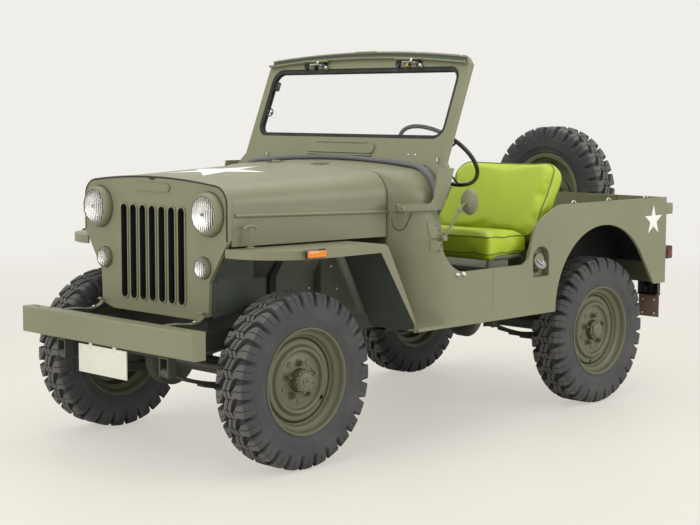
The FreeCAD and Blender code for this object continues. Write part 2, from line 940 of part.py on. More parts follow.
def cowl():
    shell = cowl_body(cowl_front_x, cowl_rear_x, 0)
    hollow = cowl_body(cowl_front_x - cowl_wall, cowl_rear_x - cowl_wall, cowl_wall)
    hollow = hollow.fuse(moved(hollow, V(0, 0, -overrun)))
    shell = shell.cut(hollow).cut(door_space())
    dash = cowl_body(dash_x, dash_x - cowl_wall, cowl_wall / 2)
    dash = dash.common(block(
        V(cowl_rear_x, -tub_half_width, dash_bottom_z),
        V(cowl_front_x, tub_half_width, cowl_crown_z),
    ))
    half = hood_ear_width / 2
    ears = hinge_pieces([(-half, half)], hood_hinge_x - overrun, hood_hinge_x, hood_ear_radius)
    pins = hinge_pieces([(-half * 3, half * 3)], 0, 0, hood_pin_radius)
    return fused([shell, dash] + ears + pins)


def hinge_pieces(width, x_from, x_to, radius):
    # Barrels and straps of both hood hinges: `width` pairs of low and high offsets from each hinge's middle.
    solids = []
    for side in (-1, 1):
        for low, high in width:
            y = side * hood_hinge_y + low
            end = side * hood_hinge_y + high
            barrel = rod(V(hood_hinge_x, y, hood_hinge_z), V(hood_hinge_x, end, hood_hinge_z), radius)
            solids.append(barrel)
            if x_from != x_to:
                solids.append(block(
                    V(min(x_from, x_to), y, hood_hinge_z - hood_strap),
                    V(max(x_from, x_to), end, hood_hinge_z),
                ))
    return solids


def hood():
    rear = cowl_front_x + body_gap
    front = hood_front_x - grille_thickness - body_gap
    outer = hood_body(front, rear, 0, hood_bottom_z)
    inner = hood_body(front + overrun, rear - overrun, hood_wall, hood_bottom_z - overrun)
    shell = outer.cut(inner)
    rib_front = front - hood_rib_front_gap

    start = V(rib_front, hood_half(rib_front), hood_rib_z)
    end = V(rear, hood_half(rear), hood_rib_z - hood_rib_front_gap)
    rib = rod(start, end, hood_rib_radius).cut(inner)
    half = hood_ear_width / 2
    ears = ((-half * 3, -half - seat_gap), (half + seat_gap, half * 3))
    hinges = hinge_pieces(ears, hood_hinge_x, hood_hinge_x + overrun, hood_ear_radius)
    body = fused([shell, rib, mirrored(rib)] + hinges)
    return body.cut(hinge_pieces([(-half * 4, half * 4)], 0, 0, hood_pin_radius + run_gap))


# Grille, lamps and radiator

def grille_outline(inset):
    # Half outlines from the foot up, joined at the crown by the hood's own section.
    foot_corner = grille_foot_half_width - overrun * 2
    right = [
        (foot_corner - inset, grille_bottom_z + inset),
        (grille_foot_half_width - inset, grille_bottom_z + overrun / 2 + inset),
        (grille_foot_half_width + rim_sheet - inset, grille_waist_z),
        (hood_half_width - inset, grille_shoulder_z),
        (hood_half_width - inset, hood_front_crown_z - crown_drop - hood_shoulder),
    ]
    left = [(-y, z) for y, z in right[::-1]]
    return right, left


def grille_panel():
    right, left = grille_outline(0)
    face_x = hood_front_x + seat_gap
    section = hood_body(face_x, face_x - grille_thickness, 0, grille_shoulder_z)
    low = block(V(face_x - grille_thickness, -tub_half_width, grille_shoulder_z),
                V(face_x, tub_half_width, hood_front_crown_z + overrun))
    top = section.common(low)
    bottom = plate(right[:4] + left[1:], in_yz(face_x - grille_thickness), V(grille_thickness, 0, 0))
    panel = fused([top, bottom])
    lips = []
    holes = []
    for k in range(slot_count):
        y = (k - (slot_count - 1) / 2) * slot_pitch
        holes.append(slot(y, 0))
        lips.append(slot(y, slot_lip).common(block(
            V(face_x - grille_thickness, -tub_half_width, 0),
            V(face_x + slot_lip_height, tub_half_width, hood_front_crown_z),
        )))
    for y, z, radius in ((lamp_y, lamp_z, lamp_radius - rim_sheet), (park_y, park_z, park_radius - rim_sheet)):
        for side in (-1, 1):
            holes.append(rod(
                V(face_x - grille_thickness - overrun, y * side, z),
                V(face_x + overrun, y * side, z),
                radius + seat_gap,
            ))
    return fused([panel] + lips).cut(holes)


def slot(y, grow):
    half = slot_width / 2 + grow
    points = [
        (y - half, slot_bottom_z - grow, half - seat_gap),
        (y + half, slot_bottom_z - grow, half - seat_gap),
        (y + half, slot_top_z + grow, half - seat_gap),
        (y - half, slot_top_z + grow, half - seat_gap),
    ]
    start = hood_front_x - grille_thickness - overrun
    return plate(points, in_yz(start), V(grille_thickness + overrun * 2, 0, 0))


def lamp_housing(y, z, radius, lens, reach, depth):
    # A bucket behind the grille and a round bezel in front of it, about +X.
    face = seat_gap
    neck = radius - rim_sheet
    points = [
        (0, -depth),
        (neck / 2, -depth),
        (neck, -grille_thickness - rim_sheet),
        (neck, face),
        (radius, face),
        (radius, reach / 2),
        (lens + seat_gap, reach),
        (lens + seat_gap, reach / 3),
        (0, reach / 3),
    ]
    return turned(points, V(hood_front_x + seat_gap, y, z), V(1, 0, 0))


def lamp_lens(y, z, lens, reach, rise):
    base = reach / 3 + seat_gap
    chord = lens
    radius = (chord * chord + rise * rise) / (2 * rise)
    ball_x = reach + rise - radius
    ball = Part.makeSphere(radius, V(hood_front_x + seat_gap + ball_x, y, z))
    can = rod(
        V(hood_front_x + seat_gap + base, y, z),
        V(hood_front_x + reach + rise + overrun, y, z),
        lens,
    )
    return ball.common(can)


def lamp_housings():
    head = lamp_housing(lamp_y, lamp_z, lamp_radius, lens_radius, lamp_reach, lamp_depth)
    park = lamp_housing(park_y, park_z, park_radius, park_lens_radius, park_reach, park_depth)
    return Part.makeCompound([head, mirrored(head), park, mirrored(park)])


def lamp_lenses():
    head = lamp_lens(lamp_y, lamp_z, lens_radius, lamp_reach, lens_rise)
    park = lamp_lens(park_y, park_z, park_lens_radius, park_reach, park_lens_rise)
    return Part.makeCompound([head, mirrored(head), park, mirrored(park)])


def radiator():
    front = hood_front_x - grille_thickness - radiator_gap
    low = V(front - radiator_depth, -radiator_half_width, radiator_bottom_z)
    high = V(front, radiator_half_width, radiator_top_z)
    neck = rod(
        V(front - radiator_depth / 2, 0, radiator_top_z),
        V(front - radiator_depth / 2, 0, radiator_top_z + radiator_gap),
        radiator_gap,
    )
    strap = block(
        V(front - seat_gap, -radiator_half_width, radiator_bottom_z),
        V(hood_front_x - grille_thickness, -radiator_half_width + radiator_gap, radiator_top_z),
    )
    return fused([block(low, high), neck, strap, mirrored(strap)])


# Fenders

def fender_side(inset):
    top = fender_top_z - inset
    slope_run = (fender_rear_x - fender_leg_x) / (fender_top_z - tub_bottom_z)
    return [
        (fender_front_x + overrun, top),
        (fender_rear_x + inset, top, overrun),
        (fender_leg_x + inset * 1.2, tub_bottom_z),
        (fender_leg_x + fender_leg_width - slope_run, tub_bottom_z),
        (fender_front_x + overrun, tub_bottom_z),
    ]


def fender_plan(inset):
    inner = fender_inner_y if inset == 0 else fender_inner_y - overrun
    points = [
        (fender_front_x - inset, inner),
        (fender_front_x - inset, tub_half_width - inset, fender_corner_radius - inset),
        (fender_leg_x * 2, tub_half_width - inset),
        (fender_leg_x * 2, inner),
    ]
    return plate(points, in_xy(tub_bottom_z - overrun), V(0, 0, fender_top_z - tub_bottom_z + overrun * 2))


def fender():
    span = V(0, tub_half_width, 0)
    outer = plate(fender_side(0), in_xz(0), span).common(fender_plan(0))
    inner = plate(fender_side(fender_wall), in_xz(0), span).common(fender_plan(fender_wall))
    opening = [
        (fender_front_x + overrun * 2, fender_top_z - fender_skirt),
        (fender_rear_x + fender_leg_width, fender_top_z - fender_skirt),
        (fender_leg_x + fender_leg_width, tub_bottom_z + fender_skirt),
        (fender_leg_x + fender_leg_width, tub_bottom_z - overrun),
        (fender_front_x + overrun * 2, tub_bottom_z - overrun),
    ]
    wheel_space = plate(opening, in_xz(0), V(0, tub_half_width + overrun, 0))
    shell = outer.cut(inner).cut(wheel_space.common(block(
        V(fender_leg_x * 2, tub_half_width - fender_wall - overrun, 0),
        V(front_reach, tub_half_width + overrun, fender_top_z - fender_skirt),
    )))
    front_cut = block(
        V(fender_front_x - fender_corner_radius * 2, 0, 0),
        V(front_reach, tub_half_width + overrun, fender_top_z - fender_skirt),
    )
    shell = shell.cut(front_cut)
    apron_path = [
        (fender_inner_y + fender_wall, fender_top_z - fender_wall),
        (grille_foot_half_width + fender_wall * 2, grille_waist_z),
        (grille_foot_half_width + fender_wall * 2, apron_bottom_z),
    ]
    apron_front = hood_front_x - grille_thickness
    apron = plate(strip(apron_path, fender_wall), in_yz(cowl_front_x + body_gap),
                  V(apron_front - cowl_front_x - body_gap, 0, 0))
    leg_front = [
        (apron_front, fender_top_z),
        (fender_rear_x, fender_top_z),
        (fender_leg_x, tub_bottom_z),
        (apron_front, tub_bottom_z),
    ]
    apron = apron.common(plate(leg_front, in_xz(0), V(0, tub_half_width, 0)))
    body = fused([shell, apron])
    sweep = tub_plan(-seat_gap, tub_bottom_z - overrun, cowl_seam_z + overrun)
    return body.cut(sweep)


# Windshield, in its own leaning plane

def shield_point(y, z, depth):
    # A point of the leaning windshield plane, `depth` in front of its middle.
    x = shield_base_x - (z - shield_base_z) * slope
    lean_angle = math.radians(lean)
    return V(x + depth * math.cos(lean_angle), y, z + depth * math.sin(lean_angle))


def in_shield(depth):
    return lambda u, v: shield_point(u, v, depth)


def shield_normal(length):
    lean_angle = math.radians(lean)
    return V(length * math.cos(lean_angle), 0, length * math.sin(lean_angle))


def glass_outline(grow):
    corner = glass_corner + grow
    return [
        (-glass_half_width - grow, glass_bottom_z - grow, corner),
        (glass_half_width + grow, glass_bottom_z - grow, corner),
        (glass_half_width + grow, glass_top_z + grow, corner),
        (-glass_half_width - grow, glass_top_z + grow, corner),
    ]


def shield_panel():
    half = shield_half_width
    foot_z = cowl_crown_z + shield_foot_gap
    side_foot_z = shield_base_z - crown_drop * 2
    p = in_shield(-shield_depth / 2)
    corner = V(half, shield_corner_z, 0)
    turn = glass_corner / 2
    edges = [
        arc_through(p(-half + turn, shield_corner_z), p(0, shield_top_z), p(half - turn, shield_corner_z)),
        Part.LineSegment(p(half - turn, corner.y), p(half, corner.y - turn)).toShape(),
        Part.LineSegment(p(half, corner.y - turn), p(half, side_foot_z)).toShape(),
        Part.LineSegment(p(half, side_foot_z), p(half - cowl_shoulder / 2, foot_z - crown_drop)).toShape(),
        arc_through(p(half - cowl_shoulder / 2, foot_z - crown_drop), p(0, foot_z),
                    p(-half + cowl_shoulder / 2, foot_z - crown_drop)),
        Part.LineSegment(p(-half + cowl_shoulder / 2, foot_z - crown_drop), p(-half, side_foot_z)).toShape(),
        Part.LineSegment(p(-half, side_foot_z), p(-half, corner.y - turn)).toShape(),
        Part.LineSegment(p(-half, corner.y - turn), p(-half + turn, corner.y)).toShape(),
    ]
    return Part.Face(Part.Wire(edges)).extrude(shield_normal(shield_depth))


def side_skin(low_gap, high_gap):
    # A skin round the cowl between two distances from it.
    outer = cowl_body(cowl_front_x, cowl_rear_x, -high_gap)
    return outer.cut(cowl_body(cowl_front_x, cowl_rear_x, -low_gap))


def shield_arm():
    # The arm from the windshield's lower corner round the cowl side to its pivot, one plate thick.
    half = arm_depth / 2
    back_x = shield_base_x - shield_depth / 2
    points = [
        (pivot_x + half, pivot_z - half, half / 2),
        (pivot_x + half, pivot_z + half, half / 2),
        (door_front_x + arm_depth, pivot_z + half, arm_depth),
        (door_front_x, shield_base_z + arm_depth),
        (back_x, shield_base_z + arm_depth),
        (back_x + (shield_base_z + half - pivot_z) * slope, pivot_z + half, half),
        (door_front_x - arm_depth, pivot_z - half, arm_depth),
    ]
    band = plate(points, in_xz(cowl_half_width), V(0, tub_half_width, 0))
    path = [
        (pivot_x + half, arm_front_y),
        (arm_bend_x, arm_bend_y),
        (back_x - overrun, arm_rear_y),
    ]
    plan = plate(strip(path, shield_arm_wall), in_xy(cowl_seam_z), V(0, 0, cowl_crown_z - cowl_seam_z))
    return band.common(plan)


def windshield_frame():
    panel = shield_panel()
    hole = plate(glass_outline(0), in_shield(-shield_depth), shield_normal(shield_depth * 2))
    vent = [
        (-vent_half_width, vent_bottom_z + overrun / 2, overrun / 2),
        (vent_half_width, vent_bottom_z + overrun / 2, overrun / 2),
        (vent_half_width, vent_top_z, overrun / 2),
        (-vent_half_width, vent_top_z, overrun / 2),
    ]
    lid = plate(vent, in_shield(shield_depth / 2), shield_normal(vent_thickness))
    arm = shield_arm()
    half = shield_half_width
    foot_z = shield_base_z - crown_drop * 3
    leg = [
        (half - shield_depth, foot_z),
        (arm_rear_y, foot_z),
        (arm_rear_y, shield_base_z),
        (half, shield_base_z + arm_depth * 2),
        (half - shield_depth, shield_base_z + arm_depth * 2),
    ]
    leg = plate(leg, in_shield(-shield_depth / 2), shield_normal(shield_depth))
    body = fused([panel.cut(hole), lid, arm, mirrored(arm), leg, mirrored(leg)])
    body = body.cut(cowl_body(cowl_front_x, cowl_rear_x, -body_gap + 1))
    pin = rod(V(pivot_x, 0, pivot_z), V(pivot_x, tub_half_width, pivot_z), pivot_radius + run_gap)
    return body.cut(pin).cut(mirrored(pin))


def windshield_glass():
    return plate(glass_outline(-seal_width), in_shield(-glass_thickness / 2), shield_normal(glass_thickness))


def windshield_seal():
    # A rubber ring that holds the glass in its opening.
    outer = plate(glass_outline(-seat_gap), in_shield(-seal_width), shield_normal(seal_width * 2))
    inner = plate(glass_outline(-seal_width - rim_sheet), in_shield(-seal_width * 2), shield_normal(seal_width * 4))
    groove = plate(glass_outline(-seal_width + seat_gap), in_shield(-glass_thickness / 2 - seat_gap),
                   shield_normal(glass_thickness + seat_gap * 2))
    return outer.cut(inner).cut(groove)


# Steering wheel and column

def steering_axis():
    return V(-math.cos(steer_slope), 0, math.sin(steer_slope))


def steering_shaft(radius):
    top = V(steer_x, steer_y, steer_z) - steering_axis() * steer_hub_height
    return rod(top, top - steering_axis() * column_length, radius)


def steering_wheel():
    centre = V(steer_x, steer_y, steer_z)
    axis = steering_axis()
    ring = Part.makeTorus(steer_ring_radius, steer_grip_radius, centre, axis)
    hub = rod(centre - axis * (steer_hub_height - seat_gap), centre + axis * steer_grip_radius, steer_hub_radius)
    across = V(0, 1, 0)
    up = axis.cross(across)
    spokes = []
    for turn in (0, 120, 240):
        a = math.radians(turn + 90)
        tip = centre + (across * math.cos(a) + up * math.sin(a)) * steer_ring_radius
        spokes.append(rod(centre - axis * steer_grip_radius, tip, steer_grip_radius / 2))
    return fused([ring, hub] + spokes)


def steering_column():
    shaft = steering_shaft(column_radius)
    end = V(steer_x, steer_y, steer_z) - steering_axis() * (steer_hub_height + column_length)
    half = column_radius * 1.5
    box = block(
        V(end.x - half, rail_outer_y + seat_gap, end.z - half),
        V(end.x + half, rail_outer_y + half, end.z + half),
    )
    return fused([shaft, box])


# Seats

def seat_cushion():
    points = [
        (cushion_front_x, cushion_bottom_z, overrun / 2),
        (cushion_front_x, cushion_top_z, overrun / 2),
        (cushion_rear_x, cushion_top_z - overrun, overrun / 2),
        (cushion_rear_x, cushion_bottom_z, overrun / 2),
    ]
    return plate(points, in_xz(seat_inner_y), V(0, seat_outer_y - seat_inner_y, 0))


def back_place(along, out):
    # A point of the leaning seat back: `along` up its face and `out` behind it.
    recline = math.radians(back_recline)
    foot = V(cushion_rear_x, 0, cushion_top_z - overrun)
    return foot + V(-math.sin(recline), 0, math.cos(recline)) * along + V(-math.cos(recline), 0, -math.sin(recline)) * out


def seat_back():
    corner = back_thickness * 0.8
    low_left = back_place(0, seat_gap * 2)
    up = V(-math.sin(math.radians(back_recline)), 0, math.cos(math.radians(back_recline)))

    def place(u, v):
        p = low_left + up * v
        return V(p.x, u, p.z)

    points = [
        (seat_inner_y, seat_gap * 2, overrun / 2),
        (seat_outer_y, seat_gap * 2, overrun / 2),
        (seat_outer_y, back_height, corner),
        (seat_inner_y, back_height, corner),
    ]
    out = back_place(0, back_thickness) - back_place(0, 0)
    return plate(points, place, out)


def seat_frame():
    # A tube loop under each cushion with four legs to the floor, and two tubes behind the back.
    r = seat_tube_radius
    z = cushion_bottom_z - r - seat_gap
    front = cushion_front_x - overrun
    rear = cushion_rear_x + overrun
    inner = seat_inner_y + overrun
    outer = seat_outer_y - overrun
    parts = []
    for y in (inner, outer):
        parts.append(bent_tube([V(front, y, floor_z + seat_gap), V(front, y, z), V(rear, y, z),
                                V(rear, y, floor_z + seat_gap)], r, overrun))
    for x in (between(front, rear, 1 / 3), between(front, rear, 2 / 3)):
        parts.append(rod(V(x, inner, z - r / 4), V(x, outer, z - r / 4), r * 0.7))
    behind = back_thickness + r + seat_gap * 4
    for y in (inner + r * 3, house_inner_y - overrun):
        low = back_place(0, behind + overrun / 4) + V(0, y, 0)
        high = back_place(back_height * 0.8, behind) + V(0, y, 0)
        foot = V(between(front, rear, 2 / 3), y, z - r / 4)
        parts.append(bent_tube([foot, V(low.x, y, foot.z), high], r * 0.9, overrun))
    return pair(fused(parts))


# Tailgate and spare wheel

def gate_ear_ys():
    half = gate_half_width - gate_gap
    return (overrun - half, half - overrun)


def tailgate():
    half = gate_half_width - gate_gap
    panel = block(V(tub_rear_x, -half, gate_bottom_z), V(tub_rear_x + gate_thickness, half, rail_z))
    hollow = block(
        V(tub_rear_x - overrun, -half + overrun, gate_bottom_z + overrun),
        V(tub_rear_x + gate_thickness / 2, half - overrun, rail_z - overrun),
    )
    solids = [panel.cut(hollow)]
    bores = []
    for y in gate_ear_ys():
        for low in (y - gate_ear_width * 1.5 - seat_gap, y + gate_ear_width / 2 + seat_gap):
            high = low + gate_ear_width
            solids.append(rod(V(gate_hinge_x, low, gate_hinge_z), V(gate_hinge_x, high, gate_hinge_z), gate_ear_radius))
            solids.append(block(
                V(gate_hinge_x - gate_ear_radius, low, gate_hinge_z),
                V(tub_rear_x, high, gate_bottom_z + overrun),
            ))
        reach = gate_ear_width * 2
        bores.append(rod(V(gate_hinge_x, y - reach, gate_hinge_z), V(gate_hinge_x, y + reach, gate_hinge_z),
                         gate_pin_radius + run_gap))
    return fused(solids).cut(bores)


def gate_hinge(y):
    # The body's half of a tailgate hinge, with the pin.
    half = gate_ear_width / 2
    barrel = rod(V(gate_hinge_x, y - half, gate_hinge_z), V(gate_hinge_x, y + half, gate_hinge_z), gate_ear_radius)
    reach = gate_ear_width * 1.5
    pin = rod(V(gate_hinge_x, y - reach, gate_hinge_z), V(gate_hinge_x, y + reach, gate_hinge_z), gate_pin_radius)
    arm = block(
        V(gate_hinge_x, y - half, gate_hinge_z - gate_ear_radius),
        V(tub_rear_x + gate_thickness + floor_wall, y + half, gate_hinge_z),
    )
    return fused([barrel, pin, arm])


def spare_carrier():
    # A dished foot on the tailgate, a post and a round flange that the spare's disc bolts to.
    base_x = tub_rear_x - seat_gap
    reach = base_x - spare_x + disc_face_y + rim_sheet * 2 - seat_gap
    points = [
        (0, 0),
        (drum_radius / 2, 0),
        (drum_radius / 2, rim_sheet),
        (hub_radius, overrun),
        (hub_radius * 0.8, reach - rim_sheet * 2),
        (hub_radius * 1.7, reach - rim_sheet * 2),
        (hub_radius * 1.7, reach),
        (0, reach),
    ]
    foot = turned(points, V(base_x, spare_y, spare_z), V(-1, 0, 0))
    above = block(V(base_x - rim_sheet, -tub_half_width, rail_z), V(base_x, tub_half_width, spare_z * 2))
    return foot.cut(above)


def spare_place(shape):
    # Turns a wheel from +Y outboard to rearwards, behind the tailgate.
    placed = shape.copy()
    placed.rotate(V(0, 0, 0), V(0, 0, 1), 90)
    placed.translate(V(spare_x, spare_y, spare_z))
    return placed


# Fuel filler, windshield seal, pedals and rear plate

filler_lead = 552.0
filler_x = arch_centre_x + filler_lead
filler_half_width = 66.0
filler_low_z = 681.0
filler_high_z = 833.0
filler_depth = 40.0
filler_wall = 5.0
filler_cap_radius = 38.0
filler_cap_height = 24.0
foot_seal_front_x = -784.0
foot_seal_rear_x = -827.0
foot_seal_low_z = 1150.0
foot_seal_thickness = 14.0
pedal_ys = (455.0, 310.0, 215.0)
pedal_z = 762.0
pedal_reach = 70.0
pedal_drop = 50.0
pedal_radius = 7.0
pedal_half_width = 28.0
flap_inset = 89.0
flap_y = tub_half_width - flap_inset
flap_half_width = 61.0
flap_low_z = 389.0
flap_high_z = 503.0


def filler_space(grow):
    # The arched pocket for the filler in the left tub side, grown by `grow`.
    half = filler_half_width + grow
    points = [
        (filler_x + half, filler_low_z - grow, overrun / 4),
        (filler_x + half, filler_high_z + grow, half * 0.9),
        (filler_x - half, filler_high_z + grow, half * 0.9),
        (filler_x - half, filler_low_z - grow, overrun / 4),
    ]
    return plate(points, in_xz(tub_half_width - filler_depth - grow), V(0, filler_depth + grow, 0))


def fuel_filler():
    # A thin cup in the pocket with the round filler cap on its back.
    cup = filler_space(0).cut(moved(filler_space(-filler_wall), V(0, seat_gap, 0)))
    points = [
        (0, -filler_wall / 2),
        (filler_cap_radius * 0.8, -filler_wall / 2),
        (filler_cap_radius * 0.8, filler_cap_height / 2),
        (filler_cap_radius, filler_cap_height / 2),
        (filler_cap_radius, filler_cap_height),
        (0, filler_cap_height),
    ]
    middle = V(filler_x, tub_half_width - filler_depth + filler_wall, (filler_low_z + filler_high_z) / 2)
    return fused([cup, turned(points, middle, V(0, 1, 0))])


def foot_seal():
    # The rubber strip that lies on the cowl in front of the windshield.
    band = side_skin(seat_gap, foot_seal_thickness)
    return band.common(block(
        V(foot_seal_rear_x, -tub_half_width, foot_seal_low_z),
        V(foot_seal_front_x, tub_half_width, cowl_crown_z + overrun),
    ))


def pedals():
    wall_x = cowl_front_x - floor_wall - seat_gap
    solids = []
    for y in pedal_ys:
        knee = V(wall_x - pedal_reach, y, pedal_z)
        foot = knee - V(pedal_radius * 2, 0, pedal_drop)
        arm = bent_tube([V(wall_x, y, pedal_z), knee, foot], pedal_radius, pedal_radius * 2)
        low = foot - V(pedal_radius, pedal_half_width, pedal_half_width)
        pad = block(low, foot + V(0, pedal_half_width, pedal_half_width))
        solids.append(fused([arm, pad]))
    return Part.makeCompound(solids)


def rear_plate():
    # A hanger under the left rear corner with a plain plate.
    top = rear_edge_z - seat_gap
    hanger = block(V(tub_rear_x, flap_y - flap_half_width, flap_high_z),
                   V(tub_rear_x + gate_thickness, flap_y + flap_half_width, top))
    sheet = block(V(tub_rear_x + floor_wall, flap_y - flap_half_width, flap_low_z),
                  V(tub_rear_x + floor_wall * 1.5, flap_y + flap_half_width, flap_high_z))
    return fused([hanger, sheet])


# Running gear seen from below, engine and fittings

engine_front_x = 40.0
engine_rear_x = -540.0
engine_half_width = 120.0
engine_bottom_z = 500.0
engine_top_z = 960.0
gearbox_rear_x = -1120.0
gearbox_half_width = 90.0
gearbox_bottom_z = 440.0
gearbox_top_z = 550.0
prop_radius = 28.0
transfer_z = 470.0
muffler_radius = 60.0
exhaust_radius = 22.0
exhaust_y = -290.0
exhaust_z = 400.0


def powertrain():
    engine = block(
        V(engine_rear_x, -engine_half_width, engine_bottom_z),
        V(engine_front_x, engine_half_width, engine_top_z),
    )
    box = block(
        V(gearbox_rear_x, -gearbox_half_width, gearbox_bottom_z),
        V(engine_rear_x, gearbox_half_width, gearbox_top_z),
    )
    transfer = block(
        V(gearbox_rear_x, diff_y - gearbox_half_width / 2, gearbox_bottom_z),
        V(gearbox_rear_x / 2 + engine_rear_x / 2, gearbox_half_width, gearbox_top_z),
    )
    return fused([engine, box, transfer])


def propshaft(start, end):
    run = end - start
    run.normalize()
    yoke = prop_radius * 1.6
    margin = axle_tube_radius * abs(run.z) + seat_gap
    first = start + run * margin
    last = end - run * margin
    tube = rod(first, last, prop_radius)
    return fused([tube, rod(first, first + run * yoke, yoke), rod(last - run * yoke, last, yoke)])


def propshafts():
    reach = diff_radius + axle_tube_radius
    front_end = (gearbox_rear_x + engine_rear_x) / 2
    front = propshaft(V(-reach, diff_y, tyre_radius), V(front_end, diff_y, transfer_z))
    rear = propshaft(V(gearbox_rear_x, diff_y, transfer_z), V(-wheelbase + reach, diff_y, tyre_radius))
    gearbox = powertrain()
    return Part.makeCompound([front.cut(gearbox), rear.cut(gearbox)])


def exhaust():
    wide = muffler_radius
    points = [
        V(engine_rear_x + wide * 3, -engine_half_width - seat_gap, engine_bottom_z + wide * 2),
        V(engine_rear_x + wide * 3, exhaust_y, engine_bottom_z + wide * 2),
        V(engine_rear_x + wide * 2, exhaust_y, engine_bottom_z + wide),
        V(engine_rear_x - wide / 2, exhaust_y, exhaust_z),
        V(skid_rear_x - wide, exhaust_y, exhaust_z),
    ]
    pipe = bent_tube(points, exhaust_radius, wide / 2)
    can = rod(points[-1], points[-1] - V(wide * 5, 0, 0), wide * 0.8)
    return fused([pipe, can])


fit_wall = 5.0
lever_count = 3
lever_height = 380.0
hinge_x = -745.0
hinge_z = 915.0
hinge_half_height = 62.0
hinge_half_width = 22.0
step_front_x = -544.0
step_rear_x = -783.0
step_reach = 60.0
step_y = tub_half_width + step_reach
step_z = 539.0
step_depth = 15.0
plate_half_width = 165.0
plate_low_z = 365.0
plate_high_z = 484.0
plate_y = -12.0
mirror_radius = 58.0
mirror_reach = 35.0
mirror_y = tub_half_width + mirror_reach
mirror_x = -880.0
mirror_z = 1063.0
marker_x = 10.0
marker_half_length = 50.0
marker_height = 32.0
tail_inset = 79.0
tail_y = tub_half_width - tail_inset
tail_size = 70.0
tail_reach = 90.0


def step():
    return plate(
        strip([(tub_half_width + seat_gap, step_z - step_depth), (step_y, step_z - step_depth),
               (step_y, step_z)], -fit_wall),
        in_yz(step_rear_x), V(step_front_x - step_rear_x, 0, 0),
    )


def number_plate():
    # A plate below the bumper with two lugs that reach up to it.
    x = front_reach - bumper_wall
    plate_body = block(V(x - fit_wall, plate_y - plate_half_width, plate_low_z),
                       V(x, plate_y + plate_half_width, plate_high_z))
    lugs = []
    for y in (plate_y - plate_half_width / 2, plate_y + plate_half_width / 2):
        lugs.append(block(V(x - fit_wall, y - fit_wall * 2, plate_high_z),
                          V(x, y + fit_wall * 2, bumper_bottom_z - seat_gap)))
    return fused([plate_body] + lugs)


def hinge_leaves():
    # A leaf on the cowl and one on the tub side, with the hinge's gap between them.
    band = block(
        V(hinge_x - hinge_half_width, 0, hinge_z - hinge_half_height),
        V(hinge_x + hinge_half_width, tub_half_width * 2, hinge_z + hinge_half_height),
    )
    upper = side_skin(seat_gap, seat_gap + fit_wall)
    top = cowl_seam_z - body_gap
    lower = tub_plan(-seat_gap - fit_wall, tub_bottom_z, top).cut(tub_plan(-seat_gap, tub_bottom_z, top + overrun))
    upper = upper.common(block(V(cowl_rear_x, 0, cowl_seam_z + body_gap), V(cowl_front_x, tub_half_width, rail_z)))
    return [band.common(upper), band.common(lower)]


def pivot_bracket():
    # A block that stands out of the swept cowl with the pin of the windshield arm.
    half = arm_depth / 2
    clear = arm_front_y - body_gap
    foot = block(V(pivot_x - overrun, bracket_y, pivot_z - half), V(pivot_x + half, clear, pivot_z + half))
    skirt = block(V(door_front_x, bracket_y, pivot_z - arm_depth * 1.6),
                  V(cowl_front_x, clear, pivot_z + arm_depth * 1.6))
    skirt = skirt.common(side_skin(seat_gap, seat_gap + fit_wall))
    pin = rod(V(pivot_x, bracket_y + half, pivot_z), V(pivot_x, arm_bend_y - arm_depth, pivot_z), pivot_radius)
    body = foot.cut(cowl_body(cowl_front_x, cowl_rear_x, -seat_gap))
    return fused([body, skirt, pin])


def body_fittings():
    solids = []
    for piece in [step(), pivot_bracket(), gate_hinge(gate_ear_ys()[1])] + hinge_leaves():
        solids += [piece, mirrored(piece)]
    return Part.makeCompound(solids)


def mirror():
    centre = V(mirror_x, mirror_y, mirror_z)
    head = turned([(0, 0), (mirror_radius, 0), (mirror_radius, fit_wall * 2), (mirror_radius / 2, fit_wall * 5),
                   (0, fit_wall * 5)], centre, V(1, 0, 0))
    stem = fit_wall * 1.4
    foot_y = sweep_half_width(hinge_x - hinge_half_width) + fit_wall + stem + seat_gap * 2
    foot = V(hinge_x - hinge_half_width, foot_y, hinge_z)
    elbow = V(mirror_x + fit_wall * 2, mirror_y, hinge_z)
    arm = bent_tube([foot, elbow, centre + V(fit_wall * 2, 0, 0)], stem, fit_wall * 4)
    pin = rod(foot - V(0, 0, hinge_half_width), foot + V(0, 0, hinge_half_width), stem)
    return fused([head, arm, pin])


def marker_lamps():
    y = tub_half_width + seat_gap
    low = V(marker_x - marker_half_length, y, fender_top_z - fender_skirt)
    high = V(marker_x + marker_half_length, y + fit_wall * 3, fender_top_z - fender_skirt + marker_height)
    return pair(block(low, high))


def tail_lamps():
    # A square lamp high on each rear corner and a second one below it.
    x = tub_rear_x - seat_gap
    solids = []
    for top_z in (rail_z - tail_size / 2, arch_top_z - tail_size * 2):
        low = V(x - tail_reach, tail_y, top_z - tail_size)
        solids += pair(block(low, V(x, tail_y + tail_size, top_z))).Solids
    return Part.makeCompound(solids)


def wipers():
    # A motor and a hanging arm with its blade for each half of the glass.
    solids = []
    for side in (-1, 1):
        y = side * glass_half_width / 2
        z = (glass_top_z + shield_top_z) / 2
        depth = shield_depth / 2 + seat_gap
        motor = rod(shield_point(y, z, depth), shield_point(y, z, depth + overrun), overrun / 2)
        arm = rod(shield_point(y, z, depth + overrun / 2), shield_point(y, z - overrun * 5, depth + overrun / 2),
                  fit_wall)
        solids.append(fused([motor, arm]))
    return Part.makeCompound(solids)


def fuel_tank():
    low = V(cushion_rear_x + overrun * 2, seat_inner_y + overrun * 3, floor_z + seat_gap)
    high = V(cushion_front_x - overrun * 2, seat_outer_y - overrun * 3, cushion_bottom_z - overrun * 2)
    tank = block(low, high)
    return tank.makeFillet(overrun / 2, tank.Edges)


